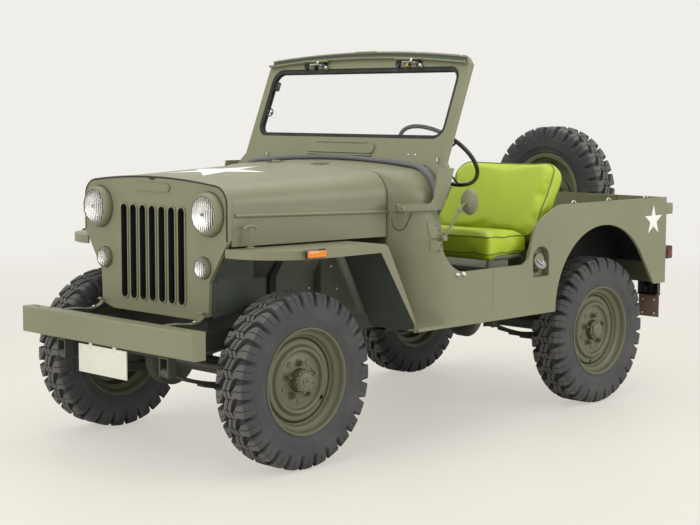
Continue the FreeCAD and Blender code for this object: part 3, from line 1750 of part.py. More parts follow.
def lever(foot, lean_back, height):
    knob = fit_wall * 4
    points = [
        (0, 0),
        (fit_wall, 0),
        (fit_wall, height - knob * 2),
        (knob, height - knob * 1.4),
        (knob, height - knob * 0.6),
        (knob / 2, height),
        (0, height),
    ]
    return turned(points, foot, V(-lean_back, 0, height))


def levers():
    base = V(toe_x - overrun * 5, 0, floor_z + fit_wall / 3)
    solids = []
    for k in range(lever_count):
        foot = base + V(-overrun * k, -overrun * k, 0)
        solids.append(lever(foot, overrun * 2, lever_height - overrun * 2 * k))
    return Part.makeCompound(solids)


def build():
    nodes = {
        "frame_rails": frame_rails(),
        "frame_crossmembers": frame_crossmembers(),
        "front_bumper": front_bumper(),
        "tub_floor": tub_floor(),
        "rear_corners": pair(rear_corner()),
        "wheel_houses": pair(wheel_house()),
        "cowl": cowl(),
        "hood": hood(),
        "grille_panel": grille_panel(),
        "radiator": radiator(),
        "lamp_housings": lamp_housings(),
        "lamp_lenses": lamp_lenses(),
        "marker_lamps": marker_lamps(),
        "tail_lamps": tail_lamps(),
        "windshield_frame": windshield_frame(),
        "windshield_glass": windshield_glass(),
        "windshield_seal": windshield_seal(),
        "wipers": wipers(),
        "steering_wheel": steering_wheel(),
        "steering_column": steering_column(),
        "seat_cushions": pair(seat_cushion()),
        "seat_backs": pair(seat_back()),
        "seat_frames": seat_frame(),
        "tailgate": tailgate(),
        "spare_carrier": spare_carrier(),
        "front_axle": front_axle(),
        "rear_axle": rear_axle(),
        "leaf_springs": leaf_springs(),
        "shock_absorbers": shock_absorbers(),
        "tie_rod": tie_rod(),
        "propshafts": propshafts(),
        "powertrain": powertrain(),
        "exhaust": exhaust(),
        "fuel_tank": fuel_tank(),
        "levers": levers(),
        "mirror": mirror(),
        "body_fittings": body_fittings(),
        "number_plate": number_plate(),
        "fuel_filler": fuel_filler(),
        "windshield_foot_seal": foot_seal(),
        "pedals": pedals(),
        "rear_plate": rear_plate(),
    }
    side = tub_sides()
    wing = fender()
    swivel = knuckle()
    for name, shape in (("tub_side", side), ("fender", wing), ("knuckle", swivel)):
        nodes[name + "_left"] = shape
        nodes[name + "_right"] = mirrored(shape)
    nodes["tub_side_left"] = side.cut(filler_space(seat_gap))
    tyre = tyre_shape()
    bored = wheel_shape(stub_bore())
    for end, x in (("front", 0), ("rear", -wheelbase)):
        for name, hand in (("left", 1), ("right", -1)):
            centre = V(x, hand * half_track, tyre_radius)
            nodes[f"wheel_{end}_{name}"] = wheel_at(bored, centre, hand)
            nodes[f"tyre_{end}_{name}"] = wheel_at(tyre, centre, hand)
    nodes["spare_wheel"] = spare_place(rim_and_disc())
    nodes["spare_tyre"] = spare_place(tyre)
    return nodes


os.makedirs("parts", exist_ok=True)
for node_name, node_shape in build().items():
    moved(node_shape, V(forward_shift, 0, 0)).exportStep(f"parts/{node_name}.step")
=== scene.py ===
import math

import bmesh
import bpy
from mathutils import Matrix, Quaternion, Vector
from mathutils.bvhtree import BVHTree


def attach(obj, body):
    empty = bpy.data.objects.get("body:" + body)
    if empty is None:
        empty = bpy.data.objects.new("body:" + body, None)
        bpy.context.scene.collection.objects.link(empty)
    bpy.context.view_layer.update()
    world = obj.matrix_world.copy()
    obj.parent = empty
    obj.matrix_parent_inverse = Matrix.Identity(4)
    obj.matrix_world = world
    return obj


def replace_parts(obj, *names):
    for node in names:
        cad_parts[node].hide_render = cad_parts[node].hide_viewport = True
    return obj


# The looks of a light army 4x4 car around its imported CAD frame. Lengths in the tables below are in
# millimetres from the front axle, as in the CAD source, and P() turns them into the frame's metres.

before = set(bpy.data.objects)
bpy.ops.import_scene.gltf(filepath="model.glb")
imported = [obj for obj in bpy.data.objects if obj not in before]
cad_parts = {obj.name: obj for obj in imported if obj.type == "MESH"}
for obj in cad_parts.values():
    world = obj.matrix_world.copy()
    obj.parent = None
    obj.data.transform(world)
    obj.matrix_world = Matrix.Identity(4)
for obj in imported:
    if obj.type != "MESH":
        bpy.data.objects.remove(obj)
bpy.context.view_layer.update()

SHIFT = 1111.0
WHEELBASE = 2032.0
HALF_TRACK = 616.0
TYRE_RADIUS = 366.0
LEAN = math.radians(21.8)


def P(x, y, z):
    return Vector(((x + SHIFT) / 1000, y / 1000, z / 1000))


def srgb(r, g, b):
    out = []
    for c in (r, g, b):
        c /= 255
        out.append(c / 12.92 if c <= 0.04045 else ((c + 0.055) / 1.055) ** 2.4)
    return (*out, 1.0)


# Materials

class Nodes:
    """A material's node tree with short calls for the nodes used here."""

    def __init__(self, name):
        self.mat = bpy.data.materials.new(name)
        self.mat.use_nodes = True
        self.tree = self.mat.node_tree
        self.shader = self.tree.nodes["Principled BSDF"]
        self.coords = self.add("ShaderNodeTexCoord").outputs["Object"]

    def add(self, kind, **inputs):
        node = self.tree.nodes.new(kind)
        for key, value in inputs.items():
            node.inputs[key.replace("_", " ")].default_value = value
        return node

    def link(self, out, socket):
        self.tree.links.new(out, socket)

    def noise(self, scale, detail=4.0, rough=0.55):
        node = self.add("ShaderNodeTexNoise", Scale=scale, Detail=detail, Roughness=rough)
        self.link(self.coords, node.inputs["Vector"])
        return node.outputs["Fac"]

    def ramp(self, source, stops):
        node = self.add("ShaderNodeValToRGB")
        while len(node.color_ramp.elements) < len(stops):
            node.color_ramp.elements.new(0.5)
        for element, (at, colour) in zip(node.color_ramp.elements, stops):
            element.position = at
            element.color = colour
        self.link(source, node.inputs["Fac"])
        return node.outputs["Color"]

    def spread(self, source, low, high):
        node = self.add("ShaderNodeMapRange")
        node.inputs["To Min"].default_value = low
        node.inputs["To Max"].default_value = high
        self.link(source, node.inputs["Value"])
        return node.outputs["Result"]

    def mix(self, factor, a, b):
        node = self.tree.nodes.new("ShaderNodeMix")
        node.data_type = "RGBA"
        for value, socket in ((factor, node.inputs[0]), (a, node.inputs[6]), (b, node.inputs[7])):
            if isinstance(value, (tuple, float, int)):
                socket.default_value = value
            else:
                self.link(value, socket)
        return node.outputs[2]

    def bump(self, source, strength, distance=0.002):
        node = self.add("ShaderNodeBump", Strength=strength, Distance=distance)
        self.link(source, node.inputs["Height"])
        self.link(node.outputs["Normal"], self.shader.inputs["Normal"])

    def colour(self, value):
        if isinstance(value, tuple):
            self.shader.inputs["Base Color"].default_value = value
        else:
            self.link(value, self.shader.inputs["Base Color"])

    def rough(self, value):
        if isinstance(value, float):
            self.shader.inputs["Roughness"].default_value = value
        else:
            self.link(value, self.shader.inputs["Roughness"])


def shade(colour, factor):
    return (*[min(1.0, c * factor) for c in colour[:3]], 1.0)


def paint(name, colour, rough=0.42, dirt=0.12, grime=None):
    """Satin paint with soft unevenness, a fine orange peel and a little grime in cloudy patches."""
    n = Nodes(name)
    clouds = n.noise(2.3, 6.0)
    fine = n.noise(38.0, 5.0)
    base = n.ramp(clouds, [(0.3, shade(colour, 0.94)), (0.7, shade(colour, 1.06))])
    spots = n.ramp(fine, [(0.55, (0, 0, 0, 1)), (0.75, (dirt, dirt, dirt, 1))])
    n.colour(n.mix(spots, base, grime or shade(colour, 0.6)))
    n.rough(n.spread(n.noise(9.0), rough - 0.06, rough + 0.1))
    n.bump(n.noise(420.0, 2.0), 0.08, 0.0006)
    return n.mat


def rubber(name, colour, dust, share=0.35):
    n = Nodes(name)
    patch = n.ramp(n.noise(6.0, 8.0), [(0.42, (0, 0, 0, 1)), (0.72, (share, share, share, 1))])
    n.colour(n.mix(patch, colour, dust))
    n.rough(n.spread(n.noise(30.0), 0.62, 0.9))
    n.bump(n.noise(260.0, 6.0), 0.25, 0.0012)
    n.shader.inputs["Specular IOR Level"].default_value = 0.35
    return n.mat


def vinyl(name, colour):
    n = Nodes(name)
    cells = n.add("ShaderNodeTexVoronoi", Scale=420.0)
    n.link(n.coords, cells.inputs["Vector"])
    base = n.ramp(n.noise(4.0), [(0.3, shade(colour, 0.93)), (0.7, shade(colour, 1.06))])
    n.colour(base)
    n.rough(n.spread(n.noise(22.0), 0.36, 0.52))
    n.bump(cells.outputs["Distance"], 0.22, 0.0008)
    return n.mat


def metal(name, colour, rough=0.35):
    n = Nodes(name)
    n.colour(n.ramp(n.noise(14.0), [(0.3, shade(colour, 0.85)), (0.7, shade(colour, 1.1))]))
    n.shader.inputs["Metallic"].default_value = 1.0
    n.rough(n.spread(n.noise(60.0), rough - 0.1, rough + 0.12))
    n.bump(n.noise(300.0), 0.06, 0.0005)
    return n.mat


def clear_glass(name, tint, ribs=False):
    n = Nodes(name)
    n.colour(tint)
    n.shader.inputs["Transmission Weight"].default_value = 1.0
    n.shader.inputs["Roughness"].default_value = 0.02
    n.shader.inputs["IOR"].default_value = 1.45
    if ribs:
        wave = n.add("ShaderNodeTexWave", Scale=26.0, Distortion=0.2)
        wave.bands_direction = "Y"
        n.link(n.coords, wave.inputs["Vector"])
        n.bump(wave.outputs["Fac"], 0.5, 0.003)
    else:
        n.bump(n.noise(3.0), 0.01, 0.001)
    return n.mat


def plastic(name, colour, rough=0.25, through=0.0):
    n = Nodes(name)
    n.colour(n.ramp(n.noise(18.0), [(0.3, shade(colour, 0.9)), (0.7, shade(colour, 1.1))]))
    n.rough(n.spread(n.noise(50.0), rough - 0.05, rough + 0.08))
    n.bump(n.noise(200.0), 0.05, 0.0006)
    n.shader.inputs["Transmission Weight"].default_value = through
    return n.mat


OLIVE = srgb(119, 120, 94)
olive = paint("olive_paint", OLIVE)
# Darker than the body's olive: painted shade for the wheel's recessed disc
wheel_olive_with_shade = paint("wheel_olive_with_shade", srgb(93, 94, 72), 0.4, 0.2)
wheel_nut = paint("wheel_nut", srgb(84, 84, 62), 0.5, 0.5, srgb(120, 92, 60))
inner_olive = paint("inner_olive", srgb(88, 90, 68), 0.55, 0.2)
# Painted shade: a dark grey for the wings' insides and undersides, the panels behind the grille's edges and the recess
# of the windshield's top channel
painted_shade_grey = paint("painted_shade_grey", srgb(62, 68, 62), 0.5, 0.25)
sheet_olive = paint("sheet_olive", srgb(84, 88, 76), 0.55, 0.3)
chassis = paint("chassis_paint", srgb(58, 60, 52), 0.5, 0.3, srgb(80, 74, 60))
cast = paint("cast_paint", srgb(52, 52, 50), 0.6, 0.4, srgb(82, 74, 60))
rust = paint("rusty_steel", srgb(116, 98, 82), 0.75, 0.8, srgb(72, 56, 46))
tyre_rubber = rubber("tyre_rubber", srgb(64, 65, 68), srgb(100, 98, 92), 0.35)
worn_rubber = rubber("worn_rubber", srgb(86, 86, 83), srgb(112, 108, 98), 0.5)
# Black rubber for the seals, also used as a painted shadow line round the lamps' feet
black_rubber = rubber("black_rubber", srgb(38, 39, 39), srgb(74, 76, 76), 0.4)
# Painted shade: near black for the wheel houses' wheel sides, the grille slots' walls and the gap beside the inner
# sheets
painted_shade_black = paint("painted_shade_black", srgb(20, 21, 22), 0.7, 0.2)
grey_seal = rubber("grey_seal", srgb(96, 98, 102), srgb(130, 130, 132), 0.3)
lime = vinyl("lime_vinyl", srgb(164, 184, 32))
piping = plastic("seat_piping", srgb(96, 112, 26), 0.45)
glass = clear_glass("clear_glass", (0.97, 0.99, 0.98, 1.0))
lamp_glass = clear_glass("lamp_glass", (0.98, 0.98, 0.97, 1.0), ribs=True)
amber = plastic("amber_lens", srgb(238, 140, 20), 0.18, 0.2)
green_lens = plastic("green_lens", srgb(70, 92, 60), 0.25)
red_lens = plastic("red_lens", srgb(120, 18, 16), 0.2, 0.2)
steel = metal("bright_steel", (0.62, 0.62, 0.60, 1.0), 0.3)
mirror_face = metal("mirror_face", (0.9, 0.9, 0.9, 1.0), 0.12)
reflector = metal("reflector", (0.95, 0.95, 0.92, 1.0), 0.22)
white_paint = paint("white_paint", srgb(226, 226, 220), 0.5, 0.1, srgb(180, 180, 170))
plate_white = paint("plate_white", srgb(206, 205, 194), 0.5, 0.1, srgb(160, 158, 146))
gloss_black = plastic("gloss_black", srgb(20, 20, 21), 0.22)
deep_green = paint("deep_green", srgb(18, 28, 27), 0.6, 0.1)
brass = metal("dull_brass", (0.42, 0.33, 0.14, 1.0), 0.35)
plain_steel = metal("plain_steel", (0.36, 0.37, 0.38, 1.0), 0.32)

# What isn't named here is olive
NODE_MATERIALS = {name: material for material, names in (
    (chassis, "frame_rails frame_crossmembers front_axle rear_axle leaf_springs tie_rod knuckle_left "
              "knuckle_right propshafts"),
    (cast, "shock_absorbers powertrain"), (rust, "exhaust rear_plate"), (glass, "windshield_glass"),
    (gloss_black, "radiator steering_column steering_wheel levers pedals wipers"),
    (inner_olive, "seat_frames fuel_tank tub_floor"), (black_rubber, "windshield_seal"),
    (grey_seal, "windshield_foot_seal"), (lamp_glass, "lamp_lenses"), (amber, "marker_lamps"),
    (green_lens, "tail_lamps"), (plate_white, "number_plate"), (painted_shade_black, "wheel_houses"),
) for name in names.split()}


def smooth(mesh, degrees=32.0):
    mesh.polygons.foreach_set("use_smooth", [True] * len(mesh.polygons))
    mesh.set_sharp_from_angle(angle=math.radians(degrees))


for name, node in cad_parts.items():
    node.data.materials.clear()
    node.data.materials.append(NODE_MATERIALS.get(name, olive))
    if node.data.has_custom_normals:
        with bpy.context.temp_override(object=node, active_object=node, selected_objects=[node]):
            bpy.ops.mesh.customdata_custom_splitnormals_clear()
    smooth(node.data)


def second_paint(name, material, chosen):
    """Gives the faces of a CAD node for which chosen(centre, normal) holds a second material."""
    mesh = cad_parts[name].data
    mesh.materials.append(material)
    for face in mesh.polygons:
        if chosen(face.center, face.normal):
            face.material_index = 1


# Picks the wing's faces that lie in shade: inside the arch, facing down, or facing forward at its rear; they get
# painted shade
def wing_shade_faces(centre, normal):
    inside = abs(centre.y) < 0.482 and centre.z < 0.898 and centre.x < 1.335
    return inside or normal.z < -0.8 or normal.x > 0.3 and centre.x < 0.72


# Picks the grille slots' walls, which get painted shade
def slot_wall_shade(centre, normal):
    across = abs(normal.y) > 0.3 or abs(normal.z) > 0.3
    return across and abs(centre.y) < 0.225 and 0.64 < centre.z < 1.07 and centre.x < P(238, 0, 0).x


def on_load_side(centre, normal):
    hub = P(-WHEELBASE, math.copysign(HALF_TRACK, centre.y), TYRE_RADIUS)
    return normal.dot(centre - hub) > 0


# Painted shade on the wings' insides and undersides and on the grille slots' walls; the wheel houses keep painted shade
# on their wheel sides and get inner olive on their load sides
second_paint("fender_left", painted_shade_grey, wing_shade_faces)
second_paint("fender_right", painted_shade_grey, wing_shade_faces)
second_paint("grille_panel", painted_shade_black, slot_wall_shade)
second_paint("wheel_houses", inner_olive, on_load_side)
second_paint("rear_plate", gloss_black, lambda centre, normal: centre.z > 0.504)


# Mesh kit

def full_turn(sides):
    return [2 * math.pi * k / sides for k in range(sides)]


class Shape:
    """Collects vertices and faces, in the frame's metres, for one piece with several materials."""

    def __init__(self):
        self.verts = []
        self.faces = []
        self.slots = []

    def add(self, verts, faces, slot=0):
        start = len(self.verts)
        self.verts += [Vector(v) for v in verts]
        self.faces += [tuple(i + start for i in face) for face in faces]
        self.slots += [slot] * len(faces)

    def grid(self, rings, closed_u=True, closed_v=False, slot=0):
        """Faces between rows of equally many points; u runs along a row and v from row to row."""
        width, rows = len(rings[0]), len(rings)
        faces = []
        for v in range(rows if closed_v else rows - 1):
            for u in range(width if closed_u else width - 1):
                here, there = v * width, (v + 1) % rows * width
                after = (u + 1) % width
                faces.append((here + u, here + after, there + after, there + u))
        self.add([p for ring in rings for p in ring], faces, slot)

    def cap(self, points, slot=0):
        self.add(points, [range(len(points))], slot)

    def loft(self, rings, slot=0):
        """A closed body through rings, capped at both ends."""
        self.grid(rings, slot=slot)
        self.cap(rings[0][::-1], slot)
        self.cap(rings[-1], slot)

    def turned(self, profile, centre, axis, sides):
        """Rings of a list of (radius, height) in mm turned about an axis through centre."""
        axis = Vector(axis).normalized()
        side = axis.orthogonal().normalized()
        up = axis.cross(side)
        return [[centre + (side * math.cos(a) + up * math.sin(a)) * (radius / 1000) + axis * (height / 1000)
                 for a in full_turn(sides)] for radius, height in profile]

    def lathe(self, profile, centre, axis, sides=48, slot=0):
        """A turned body, capped where its profile doesn't end on the axis."""
        rings = self.turned(profile, centre, axis, sides)
        self.grid(rings, slot=slot)
        if profile[0][0] > 0:
            self.cap(rings[0][::-1], slot)
        if profile[-1][0] > 0:
            self.cap(rings[-1], slot)

    def ring(self, profile, centre, axis, sides=48, slot=0):
        """As lathe, for a closed profile that leaves a hole in the middle."""
        self.grid(self.turned(profile, centre, axis, sides), closed_v=True, slot=slot)

    def tube(self, points, radius, sides=10, slot=0, closed=False):
        """A round tube in mm radius through points, with a frame that turns as little as it can."""
        points = [Vector(p) for p in points]
        count = len(points)
        rings = []
        normal = None
        for i, p in enumerate(points):
            before = points[i - 1] if i or closed else p
            after = points[(i + 1) % count] if i < count - 1 or closed else p
            along = (after - before).normalized()
            if normal is None:
                normal = along.orthogonal().normalized()
            normal = (normal - along * normal.dot(along)).normalized()
            across = along.cross(normal)
            rings.append([p + (normal * math.cos(a) + across * math.sin(a)) * (radius / 1000) for a in full_turn(sides)])
        if closed:
            self.grid(rings, closed_v=True, slot=slot)
        else:
            self.loft(rings, slot)

    def box(self, low, high, bevel=2.0, slot=0, place=P):
        """A box between two corners in mm, with rounded edges; place turns its corners into the frame."""
        bm = bmesh.new()
        bmesh.ops.create_cube(bm, size=1.0)
        low, high = Vector(low), Vector(high)
        size = high - low
        for v in bm.verts:
            v.co = Vector([low[i] + (v.co[i] + 0.5) * size[i] for i in range(3)])
        if bevel:
            bmesh.ops.bevel(bm, geom=bm.edges[:], offset=min(bevel, min(size) * 0.45), segments=2, affect="EDGES",
                            profile=0.5)
        bm.verts.index_update()
        self.add([place(*v.co) for v in bm.verts], [[v.index for v in f.verts] for f in bm.faces], slot)
        bm.free()

    def prism(self, outline, push, slot=0):
        """A plate with flat faces: outline is a list of points in the frame, push a vector."""
        self.loft([outline, [p + Vector(push) for p in outline]], slot)

    def build(self, name, materials, body, degrees=32.0):
        mesh = bpy.data.meshes.new(name)
        mesh.from_pydata(self.verts, [], self.faces)
        for m in materials:
            mesh.materials.append(m)
        mesh.polygons.foreach_set("material_index", self.slots)
        bm = bmesh.new()
        bm.from_mesh(mesh)
        bmesh.ops.remove_doubles(bm, verts=bm.verts, dist=0.00001)
        bmesh.ops.recalc_face_normals(bm, faces=bm.faces)
        bm.to_mesh(mesh)
        bm.free()
        obj = bpy.data.objects.new(name, mesh)
        bpy.context.scene.collection.objects.link(obj)
        smooth(mesh, degrees)
        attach(obj, body)
        return obj


def curve_points(points, per_span=6, closed=False):
    """Catmull-Rom points through a list of vectors."""
    points = [Vector(p) for p in points]
    count = len(points)
    out = []
    spans = count if closed else count - 1
    for i in range(spans):
        p0 = points[i - 1] if i or closed else points[i]
        p1 = points[i]
        p2 = points[(i + 1) % count]
        p3 = points[(i + 2) % count] if i < count - 2 or closed else p2
        for k in range(per_span):
            t = k / per_span
            out.append(0.5 * ((2 * p1) + (p2 - p0) * t + (2 * p0 - 5 * p1 + 4 * p2 - p3) * t * t
                              + (3 * p1 - p0 - 3 * p2 + p3) * t * t * t))
    if not closed:
        out.append(points[-1])
    return out


# Tyres and wheels

LUGS = 28
PITCH = 2 * math.pi / LUGS

# A shoulder block from the tread's middle to the sidewall: across and radius of its top and of its foot
SHOULDER = [((27, 364.6), (27, 347)), ((29, 366), (29, 345)), ((48, 366), (47, 343)), ((59, 365.5), (57, 338)),
            ((69, 363), (65, 332)), ((77.5, 356.5), (71, 327)), ((84, 345), (76, 321)), ((88, 331), (80.5, 316)),
            ((89.8, 317), (84.5, 310)), ((90, 305), (87, 304)), ((88.4, 300), (88, 299.5))]
WORN_TO = 74  # how far across the blocks' tops are worn pale
# The two middle ribs: starts and ends along the pitch, and how far across each end lies
ZIGZAG = [(0.0, 0.6, -9.5, 9.5), (0.6, 1.0, 9.5, -9.5)]
RIB_HALF = 9.4
RIB_STEPS = 3


def shoulder_block(shape, place, hand, middle):
    """A rounded block that hooks over the shoulder, with one cut along its back."""
    rows = []
    for (y, top), (foot_y, foot) in SHOULDER:
        bend = -0.17 * max(0.0, (59 - y) / 25) ** 2 * PITCH * hand
        half = (0.20 + 0.16 * min(1.0, max(0.0, (y - 27) / 36))) * PITCH
        cut = 0.0 if y < 38 or y > 89.5 else 5.0
        at = middle + bend
        groove = at + 0.02 * PITCH + 0.10 * PITCH * max(0.0, (59 - y) / 25) * hand
        push = (y - foot_y) / max(1.0, math.hypot(y - foot_y, top - foot))
        lift = (top - foot) / max(1.0, math.hypot(y - foot_y, top - foot))
        wide = 0.11 * PITCH if 60 < y < 89 else 0.05 * PITCH
        row = [(foot_y, foot, at - half - wide), (y - 1.4 * push, top - 1.4 * lift, at - half),
               (y, top, at - half + 0.02 * PITCH), (y, top, groove - 0.024 * PITCH),
               (y - cut * push, top - cut * lift, groove - 0.01 * PITCH),
               (y - cut * push, top - cut * lift, groove + 0.01 * PITCH), (y, top, groove + 0.024 * PITCH),
               (y, top, at + half - 0.02 * PITCH), (y - 1.4 * push, top - 1.4 * lift, at + half),
               (foot_y, foot, at + half + wide)]
        rows.append([place(r * math.cos(a), hand * across, r * math.sin(a)) for across, r, a in row])
    start = len(shape.faces)
    shape.grid(rows, closed_u=False)
    for v in range(len(rows) - 1):
        if SHOULDER[v][0][0] < WORN_TO:
            for u in (2, 6):
                shape.slots[start + v * (len(rows[0]) - 1) + u] = 1
    shape.cap(rows[0][::-1])


def rib_block(shape, place, centre, a0, a1, y0, y1):
    """One straight length of a zigzag rib, chamfered along its top."""
    rows = []
    for k in range(RIB_STEPS + 1):
        share = k / RIB_STEPS
        end = 1.2 if k in (0, RIB_STEPS) else 0.0
        y = centre + y0 + (y1 - y0) * share
        a = a0 + (a1 - a0) * share
        half = [(RIB_HALF + 2.5, 346), (RIB_HALF, 364.4 - end), (RIB_HALF - 1.4, TYRE_RADIUS - end)]
        line = [(y - out, r) for out, r in half] + [(y + out, r) for out, r in half[::-1]]
        rows.append([place(r * math.cos(a), across, r * math.sin(a)) for across, r in line])
    start = len(shape.faces)
    shape.grid(rows, closed_u=False)
    for v in range(RIB_STEPS):
        shape.slots[start + v * (len(rows[0]) - 1) + 2] = 1
    shape.cap(rows[0][::-1])
    shape.cap(rows[-1])


def tyre_shape(shape, place):
    """A cross-country tyre about a wheel's own +Y axis; place turns wheel coordinates in mm into the frame."""
    carcass = [
        (212, 62), (217, 71), (222.5, 74), (225, 77), (231, 79), (234, 78.2), (238, 79.6), (255, 84.6), (258, 86.2),
        (262, 86), (280, 88.4), (294, 88.9), (298, 90), (301, 88.8), (306, 86), (313, 81), (321, 75), (329, 68),
        (337, 57), (343, 44), (346, 30), (347, 0),
    ]
    profile = carcass + [(r, -y) for r, y in carcass[-2::-1]]
    rings = [[place(r * math.cos(a), y, r * math.sin(a)) for a in full_turn(96)] for r, y in profile]
    shape.grid(rings, closed_v=True)
    for k in range(LUGS):
        shoulder_block(shape, place, 1, PITCH * (k + 0.02))
        shoulder_block(shape, place, -1, PITCH * (k + 0.60))
        for centre in (-12.2, 12.2):
            for low, high, y0, y1 in ZIGZAG:
                rib_block(shape, place, centre, PITCH * (k + low + 0.025), PITCH * (k + high - 0.025), y0, y1)


def wheel_shape(shape, place, front):
    """The pressed disc, rim, nuts and hub about a wheel's own +Y axis, outboard side at +Y."""
    centre = place(0, 0, 0)
    axis = place(0, 1, 0) - centre

    def around(radius, angle):
        return place(radius * math.cos(angle), 0, radius * math.sin(angle))

    rim = [
        (222, 72), (223, 77), (221, 79.5), (216, 79), (212, 75), (209.5, 68), (208, 60), (205, 53), (199, 48),
        (191, 44), (187, 38), (184, 30), (178, 25), (176, 18), (176, -28), (196, -38), (204, -58), (206, -68),
        (218, -77), (222, -76), (222, -72), (214, -70), (209, -60), (202, -34), (182, -24), (182, 16), (186, 22),
        (196, 36), (208, 44), (211, 68),
    ]
    shape.ring(rim, centre, axis, 96)
    face = [
        (176, 8), (173, 18), (169, 24.5), (165, 27), (149, 27.2), (147, 25.5), (144, 28), (141, 34), (136, 38.5),
        (130, 39.5), (124, 37), (120, 31), (117, 25), (112, 22.5), (100, 23), (92, 26), (62, 27), (57, 28), (50, 28),
    ]
    shape.ring(face + [(r, y - 5) for r, y in face[::-1]], centre, axis, 96)
    if front:
        hub = [(47, 26), (47, 56), (45, 58), (45, 60), (38, 60), (38, 70), (36, 72), (22, 73), (20, 74), (19, 77),
               (12, 77.5), (8, 76), (4, 76), (3.5, 66), (0, 66)]
        rings = []
        for y, grow in ((59.5, 0), (60, 1), (67, 1), (68.5, -1.5)):
            # Eight teeth of eight steps each, five of them high
            reach = [(51 if k % 8 < 5 else 43.5) + grow for k in range(64)]
            rings.append([place(r * math.cos(a), y, r * math.sin(a)) for r, a in zip(reach, full_turn(64))])
        shape.loft(rings)
    else:
        hub = [(44, 26), (44, 44), (47, 46), (47, 52), (44, 55), (38, 56), (36, 62), (30, 66), (16, 68), (0, 69)]
    shape.lathe(hub, centre, axis, 48, 0)
    bolts, turn, reach, height = (8, 0.31, 45, 68) if front else (6, 0.5, 41, 55)
    for k in range(bolts):
        shape.lathe([(4.2, height - 2), (4.2, height + 4), (3, height + 5)],
                    around(reach, 2 * math.pi * (k + turn) / bolts), axis, 6, 1)
    for a in full_turn(5):
        shape.lathe([(19, 26), (17, 29.5), (13, 31), (12.5, 34), (10.8, 35), (10.8, 46), (8.5, 49), (6, 49), (6, 55),
                     (4, 56)], around(72, a + 0.3), axis, 6, 1)
        shape.lathe([(13, 26), (11, 29.5), (0, 30)], around(84, a + 0.3 + math.pi / 5), axis, 20, 0)
    spot = place(-129, 0, -87) if front else place(10, 0, -158)
    high = 40.2 if front else 27.4
    shape.lathe([(9, 26), (9, high), (0, high)], spot, axis, 20, 3)
    shape.lathe([(2.8, 26), (2.8, high + 5), (0, high + 5)], spot, axis, 10, 2)


def wheel_place(x, side):
    def place(a, y, b):
        return P(x + a * side, HALF_TRACK * side + y * side, TYRE_RADIUS + b)
    return place


def spare_place(a, y, b):
    return P(-2643 - y, -70 + a, 1006 + b)


DRUM = [(136, -22), (136, 12), (128, 20), (60, 20), (24, 20), (24, -18), (120, -18), (126, -22)]

for end, x in (("front", 0.0), ("rear", -WHEELBASE)):
    for hand, side in (("left", 1), ("right", -1)):
        body = f"wheel_{end}_{hand}"
        tyre = Shape()
        tyre_shape(tyre, wheel_place(x, side))
        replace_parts(tyre.build(f"lugged_tyre_{end}_{hand}", [tyre_rubber, worn_rubber], body, 28), f"tyre_{end}_{hand}")
        wheel = Shape()
        wheel_shape(wheel, wheel_place(x, side), end == "front")
        wheel.ring(DRUM, wheel_place(x, side)(0, 0, 0), (0, side, 0), 64, 2)
        paints = [wheel_olive_with_shade, wheel_nut, chassis, gloss_black]
        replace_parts(wheel.build(f"pressed_wheel_{end}_{hand}", paints, body, 28), f"wheel_{end}_{hand}")

spare = Shape()
tyre_shape(spare, spare_place)
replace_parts(spare.build("lugged_spare_tyre", [tyre_rubber, worn_rubber], "tailgate", 28), "spare_tyre")

# Surfaces to land small parts on

_trees = {}


def land(node, x, y, z, toward):
    """The point and outward normal where a ray from (x, y, z) in mm meets a CAD node."""
    if node not in _trees:
        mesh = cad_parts[node].data
        _trees[node] = BVHTree.FromPolygons([v.co for v in mesh.vertices], [p.vertices[:] for p in mesh.polygons])
    direction = Vector(toward).normalized()
    at, normal, _, _ = _trees[node].ray_cast(P(x, y, z), direction, 3.0)
    if at is None:
        return None, None
    if normal.dot(direction) > 0:
        normal = -normal
    return at, normal


def rivet(shape, at, normal, radius=5.0, slot=0):
    shape.lathe([(radius, -0.3), (radius, 0.4), (radius * 0.8, radius * 0.35), (radius * 0.4, radius * 0.5),
                 (0.0, radius * 0.55)], at, normal, 16, slot)


def side_land(node, places, side):
    """Where rays from the car's side meet a node, for the (x, z) places in mm that have it there."""
    found = [land(node, x, 900 * side, z, (0, -side, 0)) for x, z in places]
    return [(at, normal) for at, normal in found if at is not None]


def decal(name, outlines, place, node, toward, material, body, cell=0.02):
    """Paint on a curved panel: flat outlines in mm, laid onto the panel by rays along `toward`."""
    bm = bmesh.new()
    for outline in outlines:
        bm.faces.new([bm.verts.new((u / 1000, v / 1000, 0)) for u, v in outline])
    bmesh.ops.triangulate(bm, faces=bm.faces)
    for _ in range(6):
        long_edges = [e for e in bm.edges if e.calc_length() > cell]
        if not long_edges:
            break
        bmesh.ops.subdivide_edges(bm, edges=long_edges, cuts=1)
        bmesh.ops.triangulate(bm, faces=bm.faces)
    gone = []
    for v in bm.verts:
        at, normal = land(node, *place(v.co.x * 1000, v.co.y * 1000), toward)
        if at is None:
            gone.append(v)
        else:
            v.co = at + normal * 0.0006
    bmesh.ops.delete(bm, geom=gone, context="VERTS")
    mesh = bpy.data.meshes.new(name)
    bm.to_mesh(mesh)
    bm.free()
    mesh.materials.append(material)
    obj = bpy.data.objects.new(name, mesh)
    bpy.context.scene.collection.objects.link(obj)
    smooth(mesh)
    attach(obj, body)
    return obj


def star(radius, turn=math.pi / 2):
    points = []
    for k in range(10):
        r = radius if k % 2 == 0 else radius * 0.382
        a = turn + math.pi * k / 5
        points.append((r * math.cos(a), r * math.sin(a)))
    return points


# Seats: pads swollen by cloth simulation, then piped along their seams

PAD_VOXEL = 0.011
PRESSURE = 4.0
MOST_SWELL = 0.024


